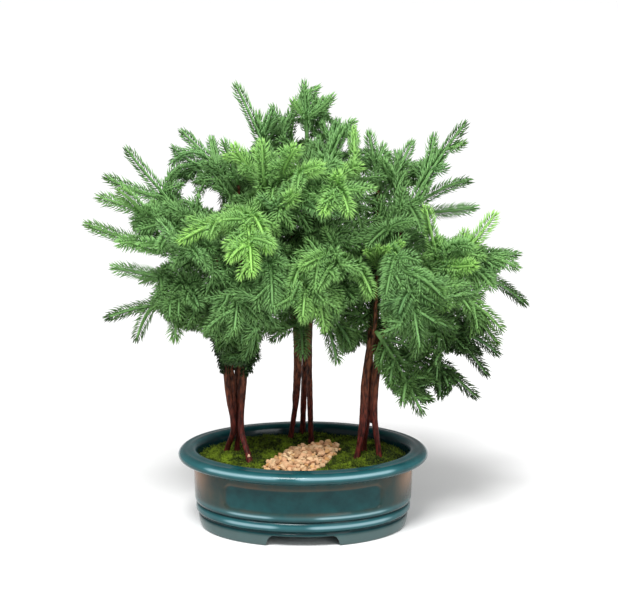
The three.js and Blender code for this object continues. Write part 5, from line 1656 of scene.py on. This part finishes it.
def glaze_material(group):
    """Teal glaze, brown where it is thin, with pale crests, painted highlights on some of them, brown clay
    at the ends that is partly a painted reflection, and painted shade in the grooves and inside.
    """
    material, tree, shader = new_material("teal_glaze")
    crest_and_highlight, thin, clay_and_reflection, groove_and_inner_shade = read_tint(tree)
    clouds, height = uneven(tree, group, 60.0)
    teal = mix_colour(tree, (0.0006, 0.034, 0.038), (0.003, 0.054, 0.058), clouds)
    streaks, _ = uneven(tree, group, 42.0, stretch=0.7, low=0.36, high=0.66)
    brown = mix_colour(tree, (0.015, 0.040, 0.036), (0.052, 0.046, 0.031), streaks)
    # Painted highlight on the crests' shining stretches
    painted_highlight = math_node(tree, "SUBTRACT", crest_and_highlight, 0.7, clamp=True)
    body = layered(tree, teal, (brown, thin, 0.8), ((0.32, 0.16, 0.075), clay_and_reflection, 0.8),
                   ((0.060, 0.210, 0.240), crest_and_highlight, 0.55), ((0.340, 0.500, 0.550), painted_highlight, 2.0),
                   ((0.002, 0.014, 0.018), groove_and_inner_shade, 0.85))
    paint(tree, shader, body, Roughness=0.2, Specular_IOR_Level=0.16, Coat_Weight=0.16, Coat_Roughness=0.06)
    add_bump(tree, shader, height, 0.12, 0.0006)
    return material


def moss_material(group):
    """Moss, from nearly black to yellow-green by its bright patches and its painted shade, and paler at the
    tufts' tips.
    """
    material, tree, shader = new_material("living_moss")
    light, tip, _, _ = read_tint(tree)
    grain, height = uneven(tree, group, 900.0, low=0.3, high=0.7)
    dark = mix_colour(tree, (0.003, 0.005, 0.002), (0.018, 0.030, 0.005), grain)
    bright = mix_colour(tree, (0.058, 0.092, 0.005), (0.200, 0.290, 0.020), grain)
    body = layered(tree, mix_colour(tree, dark, bright, light), ((0.24, 0.34, 0.04), tip, 0.3))
    paint(tree, shader, body, Roughness=0.9, Specular_IOR_Level=0.1)
    add_bump(tree, shader, height, 0.7, 0.0012)
    return material


def gravel_material(group):
    """Cream to peach stone with rusty spots on a few pebbles."""
    material, tree, shader = new_material("crushed_stone")
    hue, light, rust, _ = read_tint(tree)
    grain, height = uneven(tree, group, 500.0, low=0.3, high=0.7)
    cream = mix_colour(tree, (0.30, 0.165, 0.065), (0.84, 0.62, 0.36), light)
    spot = times(tree, math_node(tree, "GREATER_THAN", rust, 0.86), grain)
    body = layered(tree, cream, ((0.64, 0.31, 0.16), hue, 0.7), ((0.70, 0.36, 0.08), spot, 0.8),
                   ((0.30, 0.19, 0.11), grain, 0.25))
    paint(tree, shader, body, Roughness=0.75)
    add_bump(tree, shader, height, 0.4, 0.0006)
    return material


def bark_material(group):
    """Flaking bark, crimson low on the stems and brown higher up."""
    material, tree, shader = new_material("red_brown_bark")
    low, _, _, _ = read_tint(tree)
    flakes, height = uneven(tree, group, 420.0, stretch=0.28, low=0.38, high=0.66)
    crimson = mix_colour(tree, (0.022, 0.004, 0.003), (0.130, 0.018, 0.013), flakes)
    brown = mix_colour(tree, (0.012, 0.004, 0.002), (0.210, 0.080, 0.032), flakes)
    paint(tree, shader, mix_colour(tree, brown, crimson, low), Roughness=0.6, Specular_IOR_Level=0.2)
    add_bump(tree, shader, height, 0.8, 0.0008)
    return material


def plain_material(group, name, dark, light, size, roughness):
    material, tree, shader = new_material(name)
    mask, height = uneven(tree, group, size)
    paint(tree, shader, mix_colour(tree, dark, light, mask), Roughness=roughness)
    add_bump(tree, shader, height, 0.5, 0.0005)
    return material


# Small parts: the pale root cut, the cream bud and the young shoots round it


def add_knob(name, knob, material):
    stem_name, height, offset, sizes = knob
    ball, triangles = sphere_shape(rows=10, columns=14)
    place = stem_place(STEMS[stem_name], height) + offset
    make_piece(name, ball * np.array(sizes) + place, [triangles], material)


def make_small_parts(needles, group):
    pale = plain_material(group, "pale_cut_wood", (0.62, 0.36, 0.22), (0.80, 0.56, 0.38), 600.0, 0.6)
    add_knob("root_cut", ROOT_CUT, pale)
    add_knob("stem_bud", STEM_BUD, pale)
    foliage = Foliage(YOUNG_SHOOT_SEED)
    start = stem_place(STEMS[STEM_BUD[0]], STEM_BUD[1]) + SHOOT_START
    for tip in YOUNG_SHOOTS:
        path = arched_path(start, np.array(tip, float), SHOOT_ARCH, SHORT_STEPS)
        add_needled_twig(foliage, fine_twig(path, **SHOOT_TWIG), SHOOT_UP, SHOOT_OPENNESS)
    foliage.make("young_shoots", needles)


# Stage


FLOOR_REACH = 40.0
WORLD_STRENGTH = 0.42
SUN_STRENGTH = 2.65
SUN_SOFTNESS = 20
SUN_FROM = (-0.2, -0.8, 1.25)
# The soft boxes: place, target, size in metres, and power
FILL_LIGHT = ((0.9, -1.6, 0.9), (0, 0, 0.2), (0.7, 0.7), 6)
STRIP_LIGHT = ((0.1, -0.95, 1.55), (0, 0, 0.08), (3.2, 0.18), 15)


def make_camera():
    camera = bpy.data.cameras.new("camera")
    camera.lens, camera.sensor_width = CAMERA_LENS, SENSOR_WIDTH
    camera.clip_start, camera.clip_end = CLIP_FROM, CLIP_TO
    holder = add_object("camera", camera)
    holder.location = Vector(POT_CENTRE + camera_place())
    holder.rotation_euler = (math.pi / 2 - CAMERA_TILT, 0, 0)
    bpy.context.scene.camera = holder


def add_area_light(name, place, target, size, power):
    light = bpy.data.lights.new(name, "AREA")
    light.shape, light.energy = "RECTANGLE", power
    light.size, light.size_y = size
    holder = add_object(name, light)
    holder.location = Vector(place)
    holder.rotation_euler = (Vector(target) - Vector(place)).to_track_quat("-Z", "Y").to_euler()


def make_floor():
    material, _, shader = new_material("pale_floor")
    set_inputs(shader, Base_Color=(0.93, 0.93, 0.93, 1), Roughness=0.9)
    mesh = bpy.data.meshes.new("floor")
    corners = [(x * FLOOR_REACH, y * FLOOR_REACH, 0) for x, y in ((-1, -1), (1, -1), (1, 1), (-1, 1))]
    mesh.from_pydata(corners, [], [(0, 1, 2, 3)])
    mesh.materials.append(material)
    add_object("floor", mesh)


def make_room():
    """A room that lights the scene softly, and is plain white where the camera sees it."""
    world = bpy.data.worlds.new("pale_room")
    world.use_nodes = True
    tree = world.node_tree
    lit = tree.nodes["Background"]
    set_inputs(lit, Color=(1, 1, 1, 1), Strength=WORLD_STRENGTH)
    seen = add_node(tree, "ShaderNodeBackground", Color=(1, 1, 1, 1))
    chosen = add_node(tree, "ShaderNodeMixShader")
    link(tree, add_node(tree, "ShaderNodeLightPath").outputs["Is Camera Ray"], chosen.inputs[0])
    link(tree, lit.outputs[0], chosen.inputs[1])
    link(tree, seen.outputs[0], chosen.inputs[2])
    link(tree, chosen.outputs[0], tree.nodes["World Output"].inputs["Surface"])
    bpy.context.scene.world = world


def make_lights():
    sun = bpy.data.lights.new("key", "SUN")
    sun.energy, sun.angle = SUN_STRENGTH, math.radians(SUN_SOFTNESS)
    add_object("key", sun).rotation_euler = Vector(SUN_FROM).to_track_quat("Z", "Y").to_euler()
    add_area_light("fill", *FILL_LIGHT)
    add_area_light("strip", *STRIP_LIGHT)
    bpy.context.scene.view_settings.view_transform = "Standard"


def main():
    make_camera()
    group = make_uneven_group()
    needles = needle_material(group, "pine_needles", (0.016, 0.070, 0.020), (0.320, 0.630, 0.240),
                              (0.070, 0.130, 0.016))
    # The stems' needles and the collar use a darker copy of the needles: painted shade
    painted_shade_needles = needle_material(group, "painted_shade_needles", (0.005, 0.018, 0.005), (0.060, 0.120, 0.026),
                                  (0.014, 0.026, 0.005))
    bark = bark_material(group)
    make_pot(glaze_material(group))
    moss = moss_material(group)
    make_moss(moss)
    make_moss_tufts(moss)
    make_gravel(gravel_material(group))
    for name, stem in STEMS.items():
        make_stem(f"stem_{name}_bark", stem, bark, node=f"stem_{name}")
    for name, strand in STRANDS.items():
        make_stem(f"bark_strand_{name}", strand, bark)
    sprays, inner = lay_out_twigs()
    pieces = [{"node": f"spray_{spray['clump']}_{number:02d}", "twigs": spray_twigs(spray, number)}
              for number, spray in enumerate(sprays, start=1)]
    pieces += [{"node": f"inner_foliage_{spray['clump']}", "twigs": inner_twigs(spray, number)}
               for number, spray in enumerate(inner)]
    fill_empty_places(pieces)
    for number, piece in enumerate(pieces):
        make_foliage(piece, FOLIAGE_SEED + number, needles)
    make_stem_needles(painted_shade_needles)
    make_small_parts(needles, group)
    soil = plain_material(group, "potting_soil", (0.012, 0.008, 0.005), (0.06, 0.036, 0.022), 260.0, 0.95)
    screen = plain_material(group, "dark_mesh_plastic", (0.008, 0.008, 0.008), (0.03, 0.03, 0.03), 900.0,
                            0.6)
    for node, material in (("soil", soil), ("drain_screen_left", screen), ("drain_screen_right", screen)):
        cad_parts[node].data.materials.clear()
        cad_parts[node].data.materials.append(material)
    make_floor()
    make_room()
    make_lights()


main()
